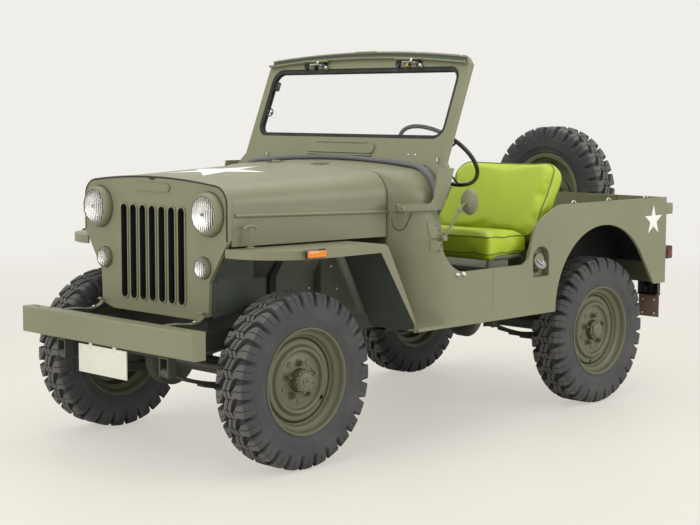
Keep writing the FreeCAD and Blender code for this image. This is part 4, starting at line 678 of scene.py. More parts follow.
def pad_mesh(name, to_frame, size, round_off):
    """A rounded block in its own box (u, v, w) in mm, remeshed evenly."""
    bm = bmesh.new()
    bmesh.ops.create_cube(bm, size=1.0)
    for v in bm.verts:
        v.co = Vector([v.co[i] * size[i] / 1000 for i in range(3)])
    corner_edges = [e for e in bm.edges if abs((e.verts[0].co - e.verts[1].co).normalized().z) > 0.9]
    bmesh.ops.bevel(bm, geom=corner_edges, offset=round_off / 1000, segments=8, affect="EDGES", profile=0.5)
    flat_edges = [e for e in bm.edges if abs(e.verts[0].co.z - e.verts[1].co.z) < 1e-6
                  and len(e.link_faces) == 2 and e.calc_face_angle(0) > 0.7]
    bmesh.ops.bevel(bm, geom=flat_edges, offset=0.014, segments=3, affect="EDGES", profile=0.5)
    for v in bm.verts:
        v.co = to_frame(v.co * 1000)
    mesh = bpy.data.meshes.new(name)
    bm.to_mesh(mesh)
    bm.free()
    mesh.remesh_voxel_size = PAD_VOXEL
    obj = bpy.data.objects.new(name, mesh)
    bpy.context.scene.collection.objects.link(obj)
    with bpy.context.temp_override(object=obj, active_object=obj, selected_objects=[obj]):
        bpy.ops.object.voxel_remesh()
    return obj


def swell(obj):
    """Blows a pad up with Blender's cloth, and caps how far any point may move."""
    rest = [v.co.copy() for v in obj.data.vertices]
    cloth = obj.modifiers.new("cloth", "CLOTH")
    cloth.settings.use_pressure = True
    cloth.settings.uniform_pressure_force = PRESSURE
    cloth.settings.effector_weights.gravity = 0.0
    cloth.settings.quality = 6
    cloth.settings.mass = 0.35
    cloth.settings.tension_stiffness = 18
    cloth.settings.compression_stiffness = 18
    cloth.settings.bending_stiffness = 4.0
    scene = bpy.context.scene
    for k in range(1, 21):
        scene.frame_set(k)
    swollen = obj.evaluated_get(bpy.context.evaluated_depsgraph_get()).to_mesh()
    moved = [v.co.copy() for v in swollen.vertices]
    obj.evaluated_get(bpy.context.evaluated_depsgraph_get()).to_mesh_clear()
    obj.modifiers.remove(cloth)
    scene.frame_set(1)
    for v, a, b in zip(obj.data.vertices, rest, moved):
        step = b - a
        v.co = a + step * min(1.0, MOST_SWELL / max(step.length, 1e-9))


def even_out(obj):
    bm = bmesh.new()
    bm.from_mesh(obj.data)
    for _ in range(3):
        bmesh.ops.smooth_vert(bm, verts=bm.verts, factor=0.5, use_axis_x=True, use_axis_y=True, use_axis_z=True)
    bm.to_mesh(obj.data)
    bm.free()


def subdivide(obj):
    mod = obj.modifiers.new("finer", "SUBSURF")
    mod.levels = mod.render_levels = 1
    mesh = bpy.data.meshes.new_from_object(obj.evaluated_get(bpy.context.evaluated_depsgraph_get()))
    obj.modifiers.remove(mod)
    obj.data = mesh


SEAT_Y = (12.0, 705.0)
SEAT_HALF = (SEAT_Y[1] - SEAT_Y[0]) / 2
CUSHION_REAR = -1470.0
CUSHION_FOOT = 797.0
CUSHION_DEEP = 330.0
CUSHION_HIGH = 78.0
RECLINE = math.radians(30.0)
BACK_FOOT = (-1470.0, 850.0)
BACK_HIGH = 455.0
BACK_DEEP = 115.0
PIPE = 3.2


def cushion_point(u, v, w):
    """u across the car from the seat's middle, v forward from its rear edge, w up from its underside."""
    return P(CUSHION_REAR + v, u, CUSHION_FOOT + w)


def back_point(u, v, w):
    """u across, v up the back, w forward from its rear face."""
    out = BACK_DEEP - w
    return P(BACK_FOOT[0] - math.sin(RECLINE) * v - math.cos(RECLINE) * out, u,
             BACK_FOOT[1] + math.cos(RECLINE) * v - math.sin(RECLINE) * out)


def seam(points, tree, radius, shape):
    """Piping: a closed tube laid on the pad's skin along a path."""
    path = []
    for p in points:
        at, normal, _, _ = tree.find_nearest(p)
        path.append(at + normal * (radius * 0.25 / 1000))
    shape.tube(path, radius, 8, 0, True)


def rounded(middle, half, v0, v1, low, high, steps=10):
    """A rectangle with rounded corners of radius low and high at its foot and its head, as (u, v) points."""
    out = []
    u0, u1 = middle - half, middle + half
    corners = [(u1 - low, v0 + low, -90, low), (u1 - high, v1 - high, 0, high),
               (u0 + high, v1 - high, 90, high), (u0 + low, v0 + low, 180, low)]
    for cu, cv, start, r in corners:
        for k in range(steps + 1):
            a = math.radians(start + 90 * k / steps)
            out.append((cu + r * math.cos(a), cv + r * math.sin(a)))
    dense = []
    for i, (u, v) in enumerate(out):
        nu, nv = out[(i + 1) % len(out)]
        cuts = max(1, int(math.hypot(nu - u, nv - v) / 14))
        dense += [(u + (nu - u) * k / cuts, v + (nv - v) * k / cuts) for k in range(cuts)]
    return dense


def tree_of(obj):
    mesh = obj.data
    return BVHTree.FromPolygons([v.co for v in mesh.vertices], [p.vertices[:] for p in mesh.polygons])


def seat_pad(kind, side, hand):
    middle = side * sum(SEAT_Y) / 2
    if kind == "cushion":
        size = (2 * SEAT_HALF - 22, CUSHION_DEEP - 24, CUSHION_HIGH)
        corner = 26

        def to_frame(p):
            # Thicker towards the front, with its front edge drawn down a little
            v = p.y + CUSHION_DEEP / 2
            w = (p.z + CUSHION_HIGH / 2) * (1 + 0.42 * v / CUSHION_DEEP) - 20 * max(0.0, v - 150) / 180
            return cushion_point(middle + p.x, v, w)
    else:
        size = (2 * SEAT_HALF - 16, BACK_HIGH - 14, BACK_DEEP - 30)
        corner = 84

        def to_frame(p):
            # Narrower and thinner towards the top
            v = p.y + BACK_HIGH / 2
            share = max(0.0, min(1.0, v / BACK_HIGH))
            return back_point(middle + p.x * (1 - 0.03 * share ** 2), v, BACK_DEEP / 2 + 2 + p.z * (1 - 0.2 * share))
    obj = pad_mesh(f"seat_{kind}_{hand}", to_frame, size, corner)
    swell(obj)
    even_out(obj)
    clamp_pad(obj, kind, side)
    subdivide(obj)
    clamp_pad(obj, kind, side)
    obj.data.materials.clear()
    obj.data.materials.append(lime)
    smooth(obj.data, 60)
    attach(obj, "body")
    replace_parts(obj, "seat_cushions" if kind == "cushion" else "seat_backs")
    pipes = Shape()
    tree = tree_of(obj)
    if kind == "cushion":
        path = rounded(middle, SEAT_HALF - 16, 14, 322, 30, 34)
        seam([cushion_point(u, v, 96) for u, v in path], tree, PIPE, pipes)
        low = rounded(middle, SEAT_HALF - 14, 12, 324, 30, 34)
        seam([cushion_point(u, v, 6) for u, v in low], tree, PIPE - 0.2, pipes)
    else:
        path = rounded(middle, SEAT_HALF - 14, 10, BACK_HIGH - 10, 24, 80)
        seam([back_point(u, v, BACK_DEEP + 4) for u, v in path], tree, PIPE, pipes)
        seam([back_point(u, v, 0) for u, v in path], tree, PIPE - 0.2, pipes)
    pipes.build(f"seat_{kind}_piping_{hand}", [piping], "body", 60)


def clamp_pad(obj, kind, side):
    """Flat where the pad rests, and clear of its neighbours."""
    spare_room = 5
    pan = P(-1310, 0, 796.5)  # where the seat pan's flat part ends, and its height
    pan_lip = P(0, 0, 774).z
    rear = Vector((-math.cos(RECLINE), 0, -math.sin(RECLINE)))
    for v in obj.data.vertices:
        co = v.co
        inner, outer = (SEAT_Y[0] - spare_room) / 1000, (SEAT_Y[1] + spare_room) / 1000
        co.y = max(inner, min(outer, co.y * side)) * side
        if kind == "cushion":
            co.z = max(co.z, pan.z if co.x < pan.x else pan_lip)
            co.x = max(co.x, P(CUSHION_REAR, 0, 0).x)
        else:
            depth = (co - back_point(0, 0, BACK_DEEP)).dot(rear) - BACK_DEEP / 1000
            if depth > 0:
                co -= rear * depth


for hand, side in (("left", 1), ("right", -1)):
    seat_pad("cushion", side, hand)
    seat_pad("back", side, hand)


# Lamps

FACE_X = 240.3

HEADLAMP_SHELL = [
    (0, -90), (45, -88), (70, -60), (87, -8), (87.5, 0), (90, 0.5), (90.5, 7), (90, 15), (88, 22), (84.5, 28),
    (80.5, 32.5), (77, 35), (75, 35.6), (73.4, 34.5), (73.3, 7.3), (0, 7.3),
]
PARKING_SHELL = [
    (0, -40), (20, -38), (36, -20), (42, -4), (42, 0), (44, 0.5), (44.2, 8), (43.4, 14), (41.6, 19), (40, 21.5),
    (38.4, 21), (38.3, 5.6), (0, 5.6),
]
LENS = 2.6
# Kind, place, shell and its radius at the base, then the lens: radius, rise of its dome and reach of its rim
LAMPS = (("headlamp", 370.0, 1043.0, HEADLAMP_SHELL, 90.0, 72.6, 9.0, 34.0, 11.0),
         ("parking_lamp", 333.0, 821.0, PARKING_SHELL, 44.0, 37.6, 5.0, 20.5, 9.0))


def dome(lens, reach, rise, steps=10):
    """The (radius, height) lines of a thin lens, outside and inside."""
    ball = (lens * lens + rise * rise) / (2 * rise)
    outside = []
    for k in range(steps + 1):
        r = lens * (1 - k / steps)
        outside.append((r, reach + rise - ball + math.sqrt(ball * ball - r * r)))
    inside = [(r * (1 - LENS / lens), h - LENS) for r, h in outside[::-1]]
    return [(lens, reach - 6)] + outside, inside + [(lens - LENS, reach - 6)]


for kind, y, z, shell, wide, lens, rise, reach, floor in LAMPS:
    for hand, side in (("left", 1), ("right", -1)):
        at = P(FACE_X, y * side, z)
        ahead = Vector((1, 0, 0))
        case = Shape()
        case.lathe(shell, at, ahead, 72, 0)
        if kind == "headlamp":
            for a in (math.radians(40), math.radians(270)):
                spot = at + Vector((0.012, 0.083 * math.cos(a), 0.083 * math.sin(a)))
                case.lathe([(5, -1), (5, 6), (3.5, 8), (0, 8)], spot, ahead, 14, 1)
        # A thin black ring round the shell's foot: a painted shadow line where the lamp meets the grille
        case.ring([(wide - 2, 0.2), (wide + 2.6, 0.2), (wide + 2.4, 1.2), (wide - 1, 2.0)], at, ahead, 72, 2)
        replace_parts(case.build(f"{kind}_{hand}", [olive, steel, black_rubber], "body", 40), "lamp_housings")
        pane = Shape()
        for line in dome(lens, reach, rise):
            pane.lathe(line, at, ahead, 72, 0)
        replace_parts(pane.build(f"{kind}_lens_{hand}", [lamp_glass], "body", 60), "lamp_lenses")
        bowl = Shape()
        deep = reach - floor - 4
        bowl.lathe([(lens - 1.5, floor + deep), (lens * 0.86, floor + deep * 0.62), (lens * 0.6, floor + deep * 0.26),
                    (lens * 0.3, floor + deep * 0.06), (0, floor)], at, ahead, 48, 0)
        bowl.lathe([(lens * 0.13, floor), (lens * 0.13, floor + deep * 0.9), (lens * 0.08, floor + deep * 1.1),
                    (0, floor + deep * 1.15)], at, ahead, 24, 1)
        bowl.build(f"{kind}_reflector_{hand}", [reflector, steel], "body", 60)


# Hood lip, seal, grille plate and hood catches

def hood_edge(x, low_z, rays=90, middle_z=700.0):
    """The hood's outer line across the car at x in mm, from its left foot over the crown to its right one."""
    line = []
    for k in range(rays + 1):
        a = math.radians(0.5 + 179 * k / rays)
        out = Vector((0, math.cos(a), math.sin(a)))
        at, normal = land("hood", x, 1500 * out.y, middle_z + 1500 * out.z, -out)
        if at is not None and at.z * 1000 >= low_z:
            line.append((at * 1000, Vector((0, normal.y, normal.z)).normalized()))
    return line


LIP_SECTION = ((212, -1), (212, 0.9), (216, 2.4), (232, 2.6), (237, 2.2), (239.5, 0.8), (239.5, -0.6), (222, -0.6))

edge = hood_edge(200.0, 920)


def along_edge(x, rise):
    return [P(x, at.y + out.y * rise, at.z + out.z * rise) for at, out in edge]


lip = Shape()
lip.loft(list(zip(*[along_edge(x, rise) for x, rise in LIP_SECTION])))
lip.build("hood_front_lip", [olive], "hood", 50)
seal = Shape()
seal.tube(along_edge(239.8, -3.5), 3.6, 8)
top = max(at.z for at, _ in edge)
notch = ((-30, 5), (30, 5), (12, 13), (0, 16), (-12, 13))
seal.prism([P(240.4, y, top - down) for y, down in notch], (0.0022, 0, 0))
seal.build("hood_front_seal", [black_rubber], "hood", 50)

badge = Shape()
for grow, low, high in ((0, 0, 5), (-5, 5, 6.2)):
    loop = []
    for cy, start in ((100, -90), (-100, 90)):
        for k in range(13):
            a = math.radians(start + 180 * k / 12)
            loop.append((cy + (18 + grow) * math.cos(a), 1140 + (18 + grow) * math.sin(a)))
    badge.prism([P(FACE_X + low - 0.3, y, z) for y, z in loop], ((high - low + 0.3) / 1000, 0, 0), 0)
badge.build("blank_grille_plate", [olive], "body", 30)

# Panels that close the wings behind the grille's edges, in painted shade grey

for hand, side in (("left", 1), ("right", -1)):
    nose = Shape()
    front = [(470, 908), (466, 880), (392, 790), (366, 764), (363, 700), (363, 640), (363, 612)]
    rear = [(474, 908), (474, 880), (474, 810), (473, 790), (446, 736), (420, 680), (402, 642)]
    rows = []
    for (fy, fz), (ry, rz) in zip(front, rear):
        middle = P(160, (fy + ry) / 2 * side, (fz + rz) / 2)
        rows.append([P(219.4, fy * side, fz), middle, P(96, (ry + 1.5) * side, rz)])
    nose.grid(rows, closed_u=False, slot=0)
    nose.grid([[p + Vector((-0.0015, -0.0015 * side, 0)) for p in row] for row in rows], closed_u=False, slot=0)
    for z in (655, 705):
        rivet(nose, P(212, 369 * side, z), (0.3, side, 0), 6.5, 1)
    nose.build(f"wing_nose_{hand}", [painted_shade_grey, steel], "body", 30)
    bolts = Shape()
    places = ((30, 880), (-180, 850), (-330, 800), (-420, 760), (-470, 680), (-120, 700))
    for at, normal in side_land(f"fender_{hand}", places, side):
        if abs(at.y) < 0.5:
            rivet(bolts, at, normal, 5.5, 0)
    bolts.build(f"wing_rivets_{hand}", [steel], "body", 30)

catches = Shape()
for side in (1, -1):
    x, y = 152.0, 522.0 * side
    foot, normal = land("fender_left" if side > 0 else "fender_right", x, y, 1200, (0, 0, -1))
    z0 = foot.z * 1000
    catches.box((x - 16, y - 9, z0 - 0.3), (x + 16, y + 9, z0 + 7), 2)
    for dx in (-11, 11):
        catches.lathe([(3.5, -0.3), (3.5, 3.2), (3, 4), (1, 4)], P(x + dx, y, z0 + 7), (0, 0, 1), 6)
    catches.tube([P(x, y, z0 + 5), P(x, y, z0 + 52), P(x, y - 3 * side, z0 + 88)], 5.0, 12)
    catches.tube([P(x, y - side, z0 + 38), P(x, y - side, z0 + 56)], 8.0, 12)
    bar = [(-33, 2, 78), (-27, -1, 87), (-14, -3, 91), (0, -3, 92), (14, -3, 91), (27, -1, 87), (33, 2, 78)]
    catches.tube(curve_points([P(x + dx, y + dy * side, z0 + dz) for dx, dy, dz in bar], 4), 5.4, 10)
catches.build("hood_catches", [olive], "body", 50)

decal("hood_star", [star(250, math.pi)], lambda u, v: (-118 + u, v, 1400), "hood", (0, 0, -1), white_paint, "hood")
for hand, side in (("left", 1), ("right", -1)):
    decal(f"side_star_{hand}", [star(80)], lambda u, v, s=side: (-2401 + u, 900 * s, 903 + v), f"tub_side_{hand}",
          (0, -side, 0), white_paint, "body")


# Windshield: foot seal, top channel, wipers

def W(y, z, depth):
    """A point of the leaning windshield, depth in front of the middle of its frame."""
    x = -861 - (z - 1180) * math.tan(LEAN)
    return P(x + depth * math.cos(LEAN), y, z + depth * math.sin(LEAN))


FORWARD = Vector((1, 0, 0))
ACROSS = Vector((0, 1, 0))
AHEAD = W(0, 1180, 1) - W(0, 1180, 0)


def crown(y):
    return 1733.0 - 30.0 * (y / 627.0) ** 2


# The cowl's section as the CAD source draws it: where it starts, how long it is, then its values at the front and
# how much they change to the rear
COWL_FRONT, COWL_LONG = -613.0, 292.0
COWL_SWEEP = 255.9
COWL_HALF, COWL_LEAN = 749.0, 110.0
SHOULDER_FRONT, SHOULDER_GROWTH = 110.0, 80.0
CROWN_FRONT, CROWN_GROWTH, CROWN_DROP = 1222.0, 10.0, 24.0


def cowl_point(x, angle, off):
    """A point off mm outside the cowl's section at x; angle in degrees from its side (0) to its crown (90)."""
    share = (COWL_FRONT - x) / COWL_LONG
    depth = max(0.0, x + 860.0)
    half = COWL_HALF - COWL_SWEEP + math.sqrt(COWL_SWEEP ** 2 - depth ** 2) - COWL_LEAN * share
    radius = SHOULDER_FRONT + SHOULDER_GROWTH * share
    a = math.radians(angle)
    return P(x, half - radius + (radius + off) * math.cos(a),
             CROWN_FRONT + CROWN_GROWTH * share - CROWN_DROP - radius + (radius + off) * math.sin(a))


BULB = 12.0  # how far the foot seal's middle lies off the cowl

foot = Shape()
rest = [cowl_point(-794 - 0.52 * k, k, BULB) for k in (12, 22, 33, 45, 57, 69, 80)]
flat = cowl_point(-848, 90, BULB)
for share in (0.85, 0.6, 0.3, 0.0):
    rest.append(Vector((flat.x - 0.006 * (1 - share), flat.y * share, flat.z + 0.024 * (1 - share ** 2))))
path = curve_points(rest + [Vector((p.x, -p.y, p.z)) for p in rest[-2::-1]], 5)
rings = []
for i, p in enumerate(path):
    along = (path[min(i + 1, len(path) - 1)] - path[max(i - 1, 0)]).normalized()
    out = along.cross(FORWARD).normalized()
    if out.z < 0 and abs(out.z) > 0.2 or abs(out.z) <= 0.2 and out.y * p.y < 0:
        out = -out
    wide = 18.0 if abs(p.y) > 0.56 else 11.5
    rings.append([p + (FORWARD * math.cos(a) * 17 + out * math.sin(a) * wide) / 1000 for a in full_turn(16)])
foot.loft(rings)
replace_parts(foot.build("windshield_foot_bulb", [grey_seal], "body", 60), "windshield_foot_seal")


def across_top(half, section, steps=40):
    """Rings along the windshield's crowned top; section is a list of (depth, height against the crown)."""
    places = [half * (2 * k / steps - 1) for k in range(steps + 1)]
    return [[W(y, crown(y) + up, depth) for depth, up in section] for y in places]


channel = Shape()
rings = across_top(642, [
    (16.5, -5), (24, -4), (26, -7), (24.5, -10), (18.5, -11), (18.5, -31), (24, -34), (32, -34.5), (34.5, -31),
    (36.5, -33), (35, -38), (27, -39.5), (16.5, -40),
])
channel.grid(rings, closed_u=False)
channel.cap(rings[0][::-1])
channel.cap(rings[-1])
for side in (1, -1):
    y = 637 * side
    top = crown(y)
    channel.tube([W(y, top - 30, 30), W(y + 5 * side, top - 34, 38), W(y + 12 * side, top - 36, 36)], 4.5, 10)
    for y in (600 * side, 322 * side):
        channel.lathe([(6, -1), (6, 3), (4.5, 5.5), (0, 6.5)], W(y, crown(y) - 2, 20), AHEAD, 14, 1)
channel.box((-72, 1, 18), (66, 8, 27), 1.5, 0, lambda y, up, depth: W(y, crown(y) - 8 + up, depth))
channel.build("windshield_top_channel", [olive, steel], "windshield", 40)
# A dark strip laid in the top channel's recess: painted shadow
dark = Shape()
dark.loft(across_top(640, [(18.2, -12), (19.4, -12), (19.4, -30), (18.2, -30)]))
dark.build("windshield_top_painted_shadow", [painted_shade_grey], "windshield", 40)

wiper = Shape()
for y0, knob in ((-322, 1), (296, 3)):
    zc = crown(y0) - 50

    def spot(dy, dz, depth, y0=y0, zc=zc):
        return W(y0 + dy, zc + dz, depth)
    wiper.box((-86, 8, 17), (84, 15, 40), 1.5, 0, spot)
    wiper.box((-86, -14, 17), (-58, 12, 23), 1.5, 1, spot)
    wiper.box((44, -18, 17), (74, 12, 23), 1.5, 1, spot)
    wiper.tube([spot(-78, -8, 24), spot(-60, -18, 32), spot(-48, -22, 30)], 7.5, 10, 1)
    wiper.tube([spot(52, 4, 26), spot(66, -10, 36), spot(84, -20, 34)], 7.0, 10, 1)
    wiper.lathe([(9, -6), (9, 4), (6, 8), (0, 9)], spot(86, -20, 34), AHEAD, 16, 2)
    wiper.lathe([(7, 0), (7, 5), (4, 7), (0, 7.5)], spot(26, 4, 40), AHEAD, 14, 2)
    wiper.tube([spot(-40, -2, 30), spot(20, 0, 32), spot(50, -6, 32)], 3.2, 8, 2)
    wiper.lathe([(12, 0), (12, 6), (8, 12), (8, 18), (4, 20), (0, 20)], spot(0, -16, 17), AHEAD, 18, knob)
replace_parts(wiper.build("folded_wipers", [olive, gloss_black, steel, brass], "windshield", 40), "wipers")

glass_parts = Shape()
glass_parts.box((-600, 1556, -10), (-572, 1598, 8), 2, 0, W)
glass_parts.ring([(17, 0), (21, 3), (22, 6), (20, 8), (16, 6)], W(-568, 1443, 10), AHEAD, 28, 0)
glass_parts.lathe([(5, -6), (5, 8), (0, 9)], W(-568, 1443, 2), AHEAD, 14, 0)
for y, z in ((-486, 1232), (634, 1232)):
    glass_parts.tube([W(y, z - 8, 17), W(y, z - 4, 30), W(y, z + 8, 34), W(y, z + 12, 24)], 3.4, 8, 1)
for y in (440, 482):
    rivet(glass_parts, W(y, 1256, 17), AHEAD, 5.5, 1)
glass_parts.box((-166, 1301, 17), (166, 1310, 29), 2.5, 2, W)
glass_parts.box((-212, 1243, 17), (212, 1250, 27.5), 2.0, 2, W)
glass_parts.build("windshield_small_parts", [gloss_black, steel, olive], "windshield", 40)

# Sides: pivot bolts, hinge leaf screws, mirror, buttons, rail hooks, weld seams

for hand, side in (("left", 1), ("right", -1)):
    small = Shape()
    tub_side = f"tub_side_{hand}"

    def here(x, y, z, side=side):
        return P(x, y * side, z)
    for at, normal in side_land("body_fittings", ((-601, 1081), (-601, 1009)), side):
        rivet(small, at, normal, 8.5, 1)
    wire = ((-590, 607, 1000), (-586, 618, 965), (-600, 640, 946), (-625, 652, 958), (-643, 664, 1000),
            (-652, 668, 1022))
    small.tube(curve_points([here(*p) for p in wire], 6), 2.4, 8, 2)
    # Five dark screws on each of the two hinge leaves
    screws = [(-767 + dx, z + dz) for z in (941, 876) for dx, dz in ((-9, -22), (9, -22), (0, 0), (-9, 22), (9, 22))]
    for at, normal in side_land("body_fittings", screws, side):
        small.lathe([(3.2, -0.2), (3.2, 0.5), (0, 0.6)], at, normal, 12, 2)
    for at, normal in side_land(tub_side, ((-862, 741), (-901, 741)), side):
        small.lathe([(11, -0.5), (11, 3), (9, 6), (8, 12), (6, 15), (0, 16)], at, normal, 20, 1)
    for x in (-1722, -2010, -2330):
        hook = ((-15, 745, 1014), (-13, 744, 1026), (0, 743, 1032), (13, 744, 1026), (15, 745, 1014))
        small.tube(curve_points([here(x + dx, y, z) for dx, y, z in hook], 4), 3.2, 8, 1)
        small.box((x - 20, 738, 1015), (x + 20, 749, 1020.4), 1.5, 0, here)
    seam_line = side_land(tub_side, [(-1111, 545 + 11.3 * k) for k in range(19)], side)
    small.tube([at for at, _ in seam_line], 1.3, 6, 0)
    small.build(f"side_small_parts_{hand}", [olive, steel, gloss_black], "body", 40)

mirror = Shape()
foot_at = P(-775, 748, 909)
joint = P(-832, 786, 1028)
mirror.tube([P(-772, 732, 909), foot_at, joint], 6.6, 12)
mirror.lathe([(11, -11), (12.5, -8), (12.5, 8), (11, 11)], foot_at, (0.2, 1, 0), 20)
mirror.lathe([(10, -10), (11, -8), (11, 8), (10, 10)], joint, (1, 0.3, 0), 18)
mirror.tube([joint, P(-850, 786, 1050), P(-888, 784, 1062)], 5.2, 12)
head, facing = P(-893, 784, 1063), (1, -0.22, 0)
dish = [(0, 20), (8, 19), (22, 15), (42, 8), (54, 1), (57.5, -5), (57.5, -11), (55, -13), (53, -11.5)]
mirror.lathe(dish, head, facing, 48)
mirror.lathe([(53.5, -11), (0, -11.4)], head, facing, 48, 1)
mirror.lathe([(5, -14), (5, 14)], P(-772, 740, 909), (0, 0, 1), 14)
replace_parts(mirror.build("left_mirror", [olive, mirror_face], "body", 40), "mirror")

cap_place, cap_axis = P(-1470, 716, 741), (0.0, 0.78, 0.63)
neck = [(30, -60), (30, 8), (33, 9), (33, 13), (39, 14), (41, 17), (41, 27), (39, 30), (30, 32), (26, 30.5),
        (22, 31.5), (8, 33), (0, 33)]
filler = Shape()
filler.lathe(neck, cap_place, cap_axis, 48, 1)
filler.ring([(16, 32.4), (22, 33.2), (22, 34.2), (16, 34)], cap_place, cap_axis, 32, 2)
filler.build("fuel_neck_and_cap", [olive, plain_steel, steel], "body", 40)

# Bumper: towing straps, rivets; number plate screws

STRAP = ((452, 607.6), (420, 607.6), (380, 606), (330, 600), (290, 604), (262, 618), (255, 634), (262, 641),
         (272, 636))
STRAP_SECTION = ((-11, -2.4), (11, -2.4), (11, 2.4), (-11, 2.4))

front = Shape()
for y in (-345, 345):
    line = curve_points([P(x, y, z) for x, z in STRAP], 5)
    rings = []
    for i, p in enumerate(line):
        along = (line[min(i + 1, len(line) - 1)] - line[max(i - 1, 0)]).normalized()
        out = along.cross(ACROSS).normalized()
        rings.append([p + ACROSS * (w / 1000) + out * (t / 1000) for w, t in STRAP_SECTION])
    front.loft(rings)
    rivet(front, P(300, y, 607), (0, 0, 1), 9, 1)
for y in (-520, -430, 430, 520):
    rivet(front, P(474, y, 606), (0, 0, 1), 9, 0)
for y, z in ((-163, 376), (139, 376), (-163, 473), (139, 473), (-90, 473), (66, 473)):
    at, normal = land("number_plate", 800, y, z, (-1, 0, 0))
    if at is not None:
        rivet(front, at, normal, 4.2, 1)
front.build("bumper_small_parts", [olive, steel], "body", 40)

# Inner sheets over the wheels and the toe sheet behind them

SHEET = 3.0
TOE_SHEET = ((-335, 652), (-400, 565), (-602, 565), (-602, 726), (-512, 868), (-335, 868))
TOE_SHEET_Y = 428.0
STEP = ((388, 652), (TOE_SHEET_Y, 652), (TOE_SHEET_Y, 868), (388, 868))

for hand, side in (("left", 1), ("right", -1)):
    sheet = Shape()

    def sheet_at(x, z, out, side=side):
        low = 382.0 + (z - 652.0) * 0.02 if z < 764 else 384.0 + (z - 764.0) * 0.644
        return P(x, (low + out) * side, z)
    # The narrow strip from -72 to -109 is painted shade black for the gap ahead of the panel; the panel itself is sheet
    # olive
    for x0, x1, out, slot in ((-107, -335, 5.0, 1), (-72, -109, 3.6, 0)):
        corners = ((x0, out), (x0, out + SHEET), (x1, out + SHEET), (x1, out))
        sheet.loft([[sheet_at(x, z, y) for x, y in corners] for z in (660, 764, 870)], slot)
    for x, z in ((-130, 840), (-300, 840), (-130, 700), (-300, 700)):
        rivet(sheet, sheet_at(x, z, 8.5), (0, side, 0), 6.0, 2)
    sheet.prism([P(x, TOE_SHEET_Y * side, z) for x, z in TOE_SHEET], (0, SHEET * side / 1000, 0), 1)
    sheet.prism([P(TOE_SHEET[0][0], y * side, z) for y, z in STEP], (SHEET / 1000, 0, 0), 1)
    for x, z in ((-395, 790), (-430, 690), (-545, 760)):
        rivet(sheet, P(x, (TOE_SHEET_Y + SHEET) * side, z), (0, side, 0), 6.0, 2)
    sheet.build(f"inner_sheet_{hand}", [painted_shade_black, sheet_olive, steel], "body", 40)

# Radiator behind the grille

core = Shape()
core.box((150, -318, 610), (188, 318, 1092), 5, 0)
for k in range(46):
    core.box((188, -300 + 13.2 * k, 640), (191.5, -296.6 + 13.2 * k, 1040), 0, 1)
core.box((142, -250, 1080), (186, 250, 1120), 8, 0)
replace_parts(core.build("radiator_core", [deep_green, gloss_black], "body", 40), "radiator")

# Rear: tail lamps, hanger bolts

for hand, side in (("left", 1), ("right", -1)):
    tail = Shape()

    def tail_place(x, y, z, side=side):
        return P(x, y * side, z)
    tail.box((-2532, 672, 922), (-2520.6, 738, 988), 2, 0, tail_place)
    tail.box((-2606, 676, 926), (-2532, 734, 984), 6, 0, tail_place)
    tail.lathe([(24, 0), (24, 5), (20, 8), (0, 9)], tail_place(-2606, 705, 955), (-1, 0, 0), 32, 1)
    tail.box((-2530, 682, 700), (-2520.6, 730, 756), 2, 2, tail_place)
    tail.box((-2600, 676, 694), (-2534, 740, 762), 6, 2, tail_place)
    tail.box((-2606, 680, 698), (-2600, 736, 758), 3, 3, tail_place)
    tail.box((-2590, 739, 712), (-2556, 742, 744), 1.0, 3, tail_place)
    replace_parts(tail.build(f"rear_lamps_{hand}", [olive, green_lens, gloss_black, red_lens, steel], "body", 40),
                "tail_lamps")
    marker = Shape()
    marker.box((-46, 749.4, 874), (66, 754, 912), 2, 0, tail_place)
    marker.box((-40, 754, 878), (60, 766, 906), 6, 1, tail_place)
    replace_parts(marker.build(f"side_marker_{hand}", [gloss_black, amber], "body", 40), "marker_lamps")

plate = Shape()
for y, z in ((630, 410), (700, 410), (630, 480), (700, 480)):
    rivet(plate, P(-2495.6, y, z), (1, 0, 0), 6, 0)
plate.box((-2526, 602, 504), (-2484, 720, 512), 2, 1)
plate.box((-2512, 640, 512), (-2490, 690, 574), 3, 1)
plate.build("rear_plate_hanger", [steel, gloss_black], "body", 40)

# Floor, light and camera

def any_ray(tree, *kinds):
    """A socket that is 1 for rays of any of these kinds."""
    path = tree.nodes.new("ShaderNodeLightPath")
    share = path.outputs[kinds[0]]
    for kind in kinds[1:]:
        either = tree.nodes.new("ShaderNodeMath")
        either.operation = "MAXIMUM"
        tree.links.new(share, either.inputs[0])
        tree.links.new(path.outputs[kind], either.inputs[1])
        share = either.outputs["Value"]
    return share


